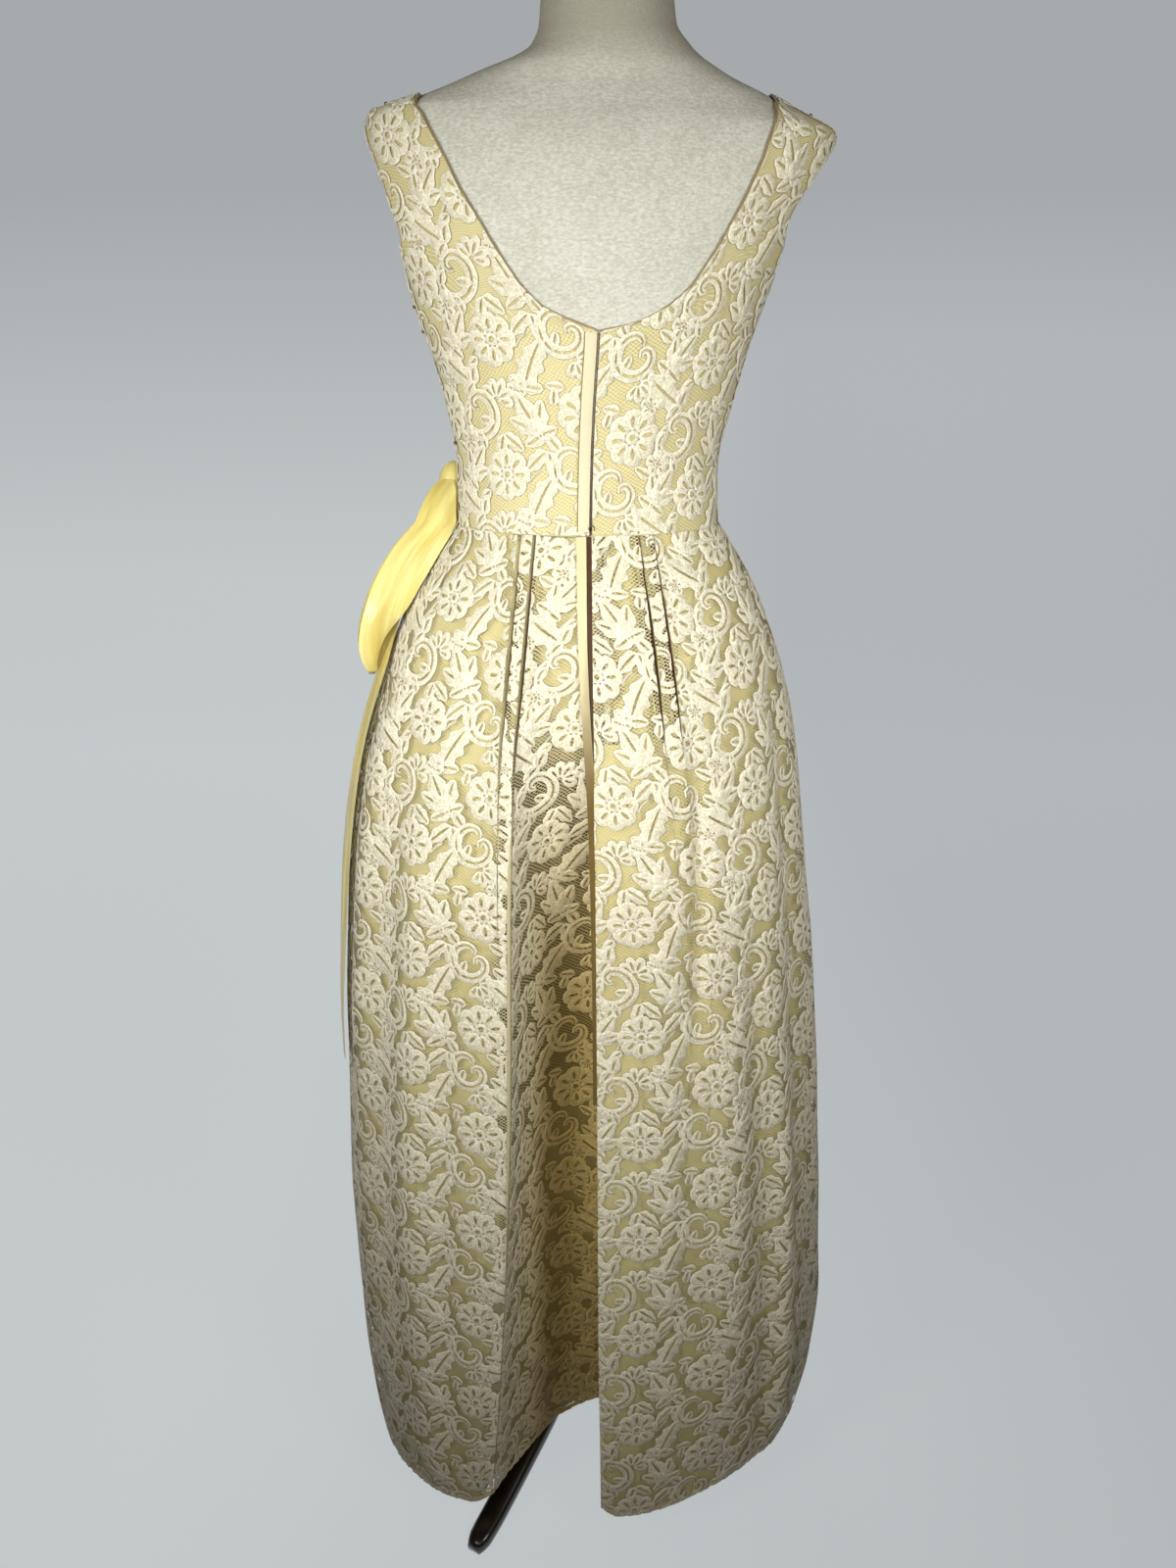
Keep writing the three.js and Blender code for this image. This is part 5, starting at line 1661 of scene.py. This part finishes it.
def tail_piece(name, end_z, start, end, phase):
    """A ribbon's tail from its cut end, at t 0, up to the knot."""
    w = np.linspace(-1, 1, 15)[None, :]
    t = np.linspace(0, 1, 90)[:, None]
    z = mix(end_z, TAIL_START_Z, t)
    angle = mix(end, start, smooth((t - TAIL_TURNS_AT) / (1 - TAIL_TURNS_AT)))
    width = TAIL_HALF_WIDTH * mix(1, TAIL_AT_KNOT, smooth((t - TAIL_NARROWS_AT) / (1 - TAIL_NARROWS_AT)))
    lifted = TAIL_STAND_OFF * (0.5 - 0.5 * w) * (1 - 0.6 * t)
    rippled = TAIL_RIPPLE * (1 + np.sin(9 * t + w))
    crease = TAIL_CREASE * np.sin(5 * w + phase) * smooth(t * 1.4)
    out = TAIL_OUT + lifted + rippled + 2 * t + crease
    left = np.where(z > WAIST_Z, body_sections(z)["left"], skirt_sections(z)["left"])
    points = gown_point(z + 0 * w, angle + w * width / left, out)
    return sheet_piece(name, points, ribbon_satin, surface_lengths(points))


def make_bow():
    r = math.radians
    return {
        "knot": knot_piece(),
        "loop_back": loop_piece("bow_satin_loop_back", r(-6.5), r(13), 0.6),
        "loop_front": loop_piece("bow_satin_loop_front", r(-32), r(-48), 2.1),
        "tail_back": tail_piece("bow_satin_tail_back", 494, r(-13), r(10.5), 0.3),
        "tail_front": tail_piece("bow_satin_tail_front", 470, r(-24), r(-35), 1.9),
    }


# ---------------------------------------------------------------- dress form and stand
ARM_PLATE_X = 150.0
HIP_TOP_Z = 1116.0
SHOULDER_LOW_Z = 1290.0
SHOULDER_DROP = 1.2
BARE_LOW_Z = 1350.0


def form_rings():
    """The torso's rings: under the gown by an inset, and bare above its shoulders."""
    low = np.linspace(FORM_BASE_Z, SHOULDER_LOW_Z, 70)
    z = np.concatenate([low, np.linspace(SHOULDER_LOW_Z, NECK_TOP_Z, 60)[1:]])[:, None]
    angle = np.linspace(0, 2 * math.pi, 120, endpoint=False)[None, :]
    shoulder = smooth((z - SHOULDER_LOW_Z) / 30)
    bare = smooth((z - BARE_LOW_Z) / 20)
    hip = ring_point(hip_sections(z), z, angle)
    ring = body_sections(z + SHOULDER_DROP * shoulder * (1 - bare))
    body = ring_point(ring, z, angle, -FORM_INSET * (1 - bare))
    centre = np.where(z < HIP_TOP_Z, hip_sections(z)["centre"], ring["centre"])
    points = np.where((z < HIP_TOP_Z)[..., None], hip, body)
    reach = points[..., 0] - centre
    points[..., 0] = centre + np.clip(reach, -ARM_PLATE_X, ARM_PLATE_X)
    return points


def lathe_rings(profile, steps=64):
    """Rings of a turned body, from its radii and heights."""
    r, z = np.array(profile, float).T
    a = np.linspace(0, 2 * math.pi, steps, endpoint=False)[None, :]
    return np.stack(np.broadcast_arrays(r[:, None] * np.cos(a), r[:, None] * np.sin(a), z[:, None]), -1)


def smooth_profile(profile, steps=60):
    """A profile through its points with rounded turns."""
    p = np.array(profile, float)
    run = lengths(p, 0)
    at = np.linspace(0, run[-1], steps)
    line = np.stack([np.interp(at, run, p[:, i]) for i in (0, 1)], 1)
    line[1:-1] = (line[:-2] + 2 * line[1:-1] + line[2:]) / 4
    return line


HUB_PROFILE = [
    (4, 62), (12, 62), (18, 70), (16, 80), (26, 90), (30, 104), (30, 124),
    (24, 136), (17, 142), (21, 150), (19, 158), (16, HUB_TOP_Z), (4, HUB_TOP_Z),
]
CAP_PROFILE = [(4, 0), (44, 0), (47, 3), (46, 8), (30, 14), (4, 18)]
LEG_ROUND = 0.8  # 1 gives an oval section, less a squarer one
leg_path = Table("share r z half thick", [
    (0, 20, 112, 12, 11), (0.12, 40, 108, 13, 12), (0.24, 58, 88, 13, 12), (0.36, 72, 68, 13, 11.5),
    (0.48, 90, 52, 13, 11), (0.6, 116, 41, 13, 10.5), (0.74, 152, 29, 13, 10), (0.88, 200, 14, 13, 9.5),
    (0.96, 226, 7.5, 12, 9.5), (1, FOOT_R, 4.5, 7, 6.5),
])


def leg_piece(name, degrees):
    """A leg of rounded section that drops from the hub and runs out low to the floor."""
    share = np.linspace(0, 1, 50)
    at = leg_path(share)
    a = math.radians(degrees)
    outwards = np.array([math.cos(a), math.sin(a), 0.0])
    sideways = np.array([-math.sin(a), math.cos(a), 0.0])
    path = at["r"][:, None] * outwards + at["z"][:, None] * UPWARDS
    up = np.cross(unit(np.gradient(path, axis=0)), sideways)
    t = loop_angles(24)
    across_part = (power(np.cos(t), LEG_ROUND)[None, :] * at["half"][:, None])[..., None] * sideways
    up_part = (power(np.sin(t), LEG_ROUND)[None, :] * at["thick"][:, None])[..., None] * up[:, None]
    rings = path[:, None] + across_part + up_part
    rings[..., 2] = np.maximum(rings[..., 2], 0.0)
    return loft_piece(name, rings[:, ::-1], dark_wood)


def make_form():
    cap = lathe_rings(smooth_profile(CAP_PROFILE))
    neck = body_sections(NECK_TOP_Z)
    cap += np.array([neck["centre"], 0.0, NECK_TOP_Z + SEAM])
    pieces = {
        "torso": loft_piece("form_linen_torso", form_rings(), linen),
        "cap": loft_piece("form_neck_block", cap, dark_wood),
        "hub": loft_piece("stand_turned_hub", lathe_rings(smooth_profile(HUB_PROFILE)), dark_wood),
    }
    for i, degrees in enumerate(LEG_ANGLES):
        pieces["leg_%d" % (i + 1)] = leg_piece("stand_curved_leg_%d" % (i + 1), degrees)
    return pieces


# ---------------------------------------------------------------- camera, light and floor
CAMERA_AT = (0.0, 1.07, 1.153)
CAMERA_PITCH = math.radians(20)
CAMERA_LENS = 27.0
FILM_HEIGHT = 36.0


STAGE_GLOW = 1.0
WORLD_COLOUR = (1.0, 0.78, 0.42, 1.0)
WORLD_STRENGTH = 0.05
LIGHT_TARGET = (0.0, 0.08, 0.93)
LIGHT_SIZE = 0.45
LIGHT_SPREAD = math.radians(84)
LIGHT_COLOUR = (1.0, 0.98, 0.92)
LIGHTS = (
    ("soft_left", (0.75, 0.98, 1.22), 2.5),
    ("soft_right", (-0.75, 0.98, 1.3), 1.8),
    ("soft_middle", (0.1, 1.2, 1.2), 1.2),
    ("front_fill", (0.0, -1.5, 1.3), 1.1),
)


def aim(obj, place, target):
    obj.location = place
    obj.rotation_euler = (Vector(target) - Vector(place)).to_track_quat("-Z", "Y").to_euler()


def make_camera():
    data = bpy.data.cameras.new("camera")
    data.sensor_fit = "VERTICAL"
    data.sensor_height = FILM_HEIGHT
    data.lens = CAMERA_LENS
    camera = bpy.data.objects.new("camera", data)
    bpy.context.scene.collection.objects.link(camera)
    ahead = (0.0, CAMERA_AT[1] - math.cos(CAMERA_PITCH), CAMERA_AT[2] - math.sin(CAMERA_PITCH))
    aim(camera, CAMERA_AT, ahead)
    bpy.context.scene.camera = camera


def area_light(name, place, energy):
    data = bpy.data.lights.new(name, "AREA")
    data.shape = "DISK"
    data.size = LIGHT_SIZE
    data.spread = LIGHT_SPREAD
    data.energy = energy
    data.color = LIGHT_COLOUR
    light = bpy.data.objects.new(name, data)
    bpy.context.scene.collection.objects.link(light)
    aim(light, place, LIGHT_TARGET)


BACKDROP_Y = -2.4  # where the floor starts to turn up into the backdrop
BACKDROP_TURN = 1.0
BACKDROP_TOP = 4.5
STAGE_HALF = 5.0


def backdrop_material():
    """Grey paper with painted light: a glow of its own, brighter to the gown's left and low down."""
    s = Shader("backdrop_paper")
    place = s.place()
    side = s.ramp(s.axis(place, 0), -0.7, 0.5)
    near = s.ramp(s.axis(place, 2), 1.7, 0.4)
    painted_light = s.math("MINIMUM", s.math("ADD", s.math("MULTIPLY", side, 0.62), 0.38), near)
    inputs = {
        "Base Color": s.mix(s.noise(place, 1.2), rgb(96, 99, 102), rgb(104, 107, 109)),
        "Roughness": 0.8,
        "Emission Color": s.mix(painted_light, rgb(163, 167, 170), rgb(192, 197, 199)),
        "Emission Strength": STAGE_GLOW,
    }
    return s.finish(s.principled(inputs))


def make_stage():
    """A pale floor that curves up into a backdrop beyond the gown's front."""
    profile = [(STAGE_HALF, 0.0)]
    for a in np.linspace(0, math.pi / 2, 16):
        profile.append((BACKDROP_Y - BACKDROP_TURN * math.sin(a), BACKDROP_TURN * (1 - math.cos(a))))
    profile.append((BACKDROP_Y - BACKDROP_TURN, BACKDROP_TOP))
    points = [(x, y, z) for y, z in profile for x in (-STAGE_HALF, STAGE_HALF)]
    faces = [(2 * i, 2 * i + 1, 2 * i + 3, 2 * i + 2) for i in range(len(profile) - 1)]
    mesh = bpy.data.meshes.new("backdrop")
    mesh.from_pydata(points, [], faces)
    mesh.materials.append(backdrop_material())
    mesh.polygons.foreach_set("use_smooth", [True] * len(mesh.polygons))
    backdrop = bpy.data.objects.new("backdrop", mesh)
    bpy.context.scene.collection.objects.link(backdrop)
    backdrop.visible_diffuse = False


def make_light():
    world = bpy.data.worlds.new("studio")
    bpy.context.scene.world = world
    world.use_nodes = True
    background = world.node_tree.nodes["Background"]
    background.inputs["Color"].default_value = WORLD_COLOUR
    background.inputs["Strength"].default_value = WORLD_STRENGTH
    for name, place, energy in LIGHTS:
        area_light(name, place, energy)
    bpy.context.scene.view_settings.view_transform = "Standard"


make_camera()
make_stage()
make_light()
form = make_form()
lining = make_lining()
skirt = make_skirt()
bodice = make_bodice()
edges = make_edges()
waist_seam = make_waist_seam()
zip_parts = make_placket()
trims = make_trims()
opening = make_skirt_opening()
bow = make_bow()

# ---------------------------------------------------------------- what each piece stands for
stands_for = {
    "bodice_back_left": bodice["back_left"],
    "bodice_back_right": bodice["back_right"],
    "bodice_front": bodice["front_left"],
    "zip_placket": zip_parts["flap"],
    "zip_chain": zip_parts["teeth"],
    "skirt_back_left": skirt["left"],
    "skirt_back_right": skirt["right"],
    "skirt_front": skirt["front"],
    "skirt_lining_back": lining["back"],
    "skirt_lining_front": lining["front"],
    "form_torso": form["torso"],
    "form_neck_cap": form["cap"],
    "stand_hub": form["hub"],
}
stands_for.update({"neck_binding_" + name: edges["neck_" + name] for name in BODICE_HALVES})
stands_for.update({"bow_" + name: piece for name, piece in bow.items()})
stands_for.update({"stand_leg_%d" % i: form["leg_%d" % i] for i in (1, 2, 3)})
for node, piece in stands_for.items():
    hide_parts(node)
pole = bpy.data.objects["stand_pole"]
pole.data.materials.clear()
pole.data.materials.append(dark_wood)


# ---------------------------------------------------------------- the pieces of lace
lace_pieces = [skirt[name] for name in ("left_lace", "right_lace", "front_right", "front_left", "return")]
lace_pieces += [bodice[name + "_lace"] for name in BODICE_HALVES]
lace_pieces += list(waist_seam.values())
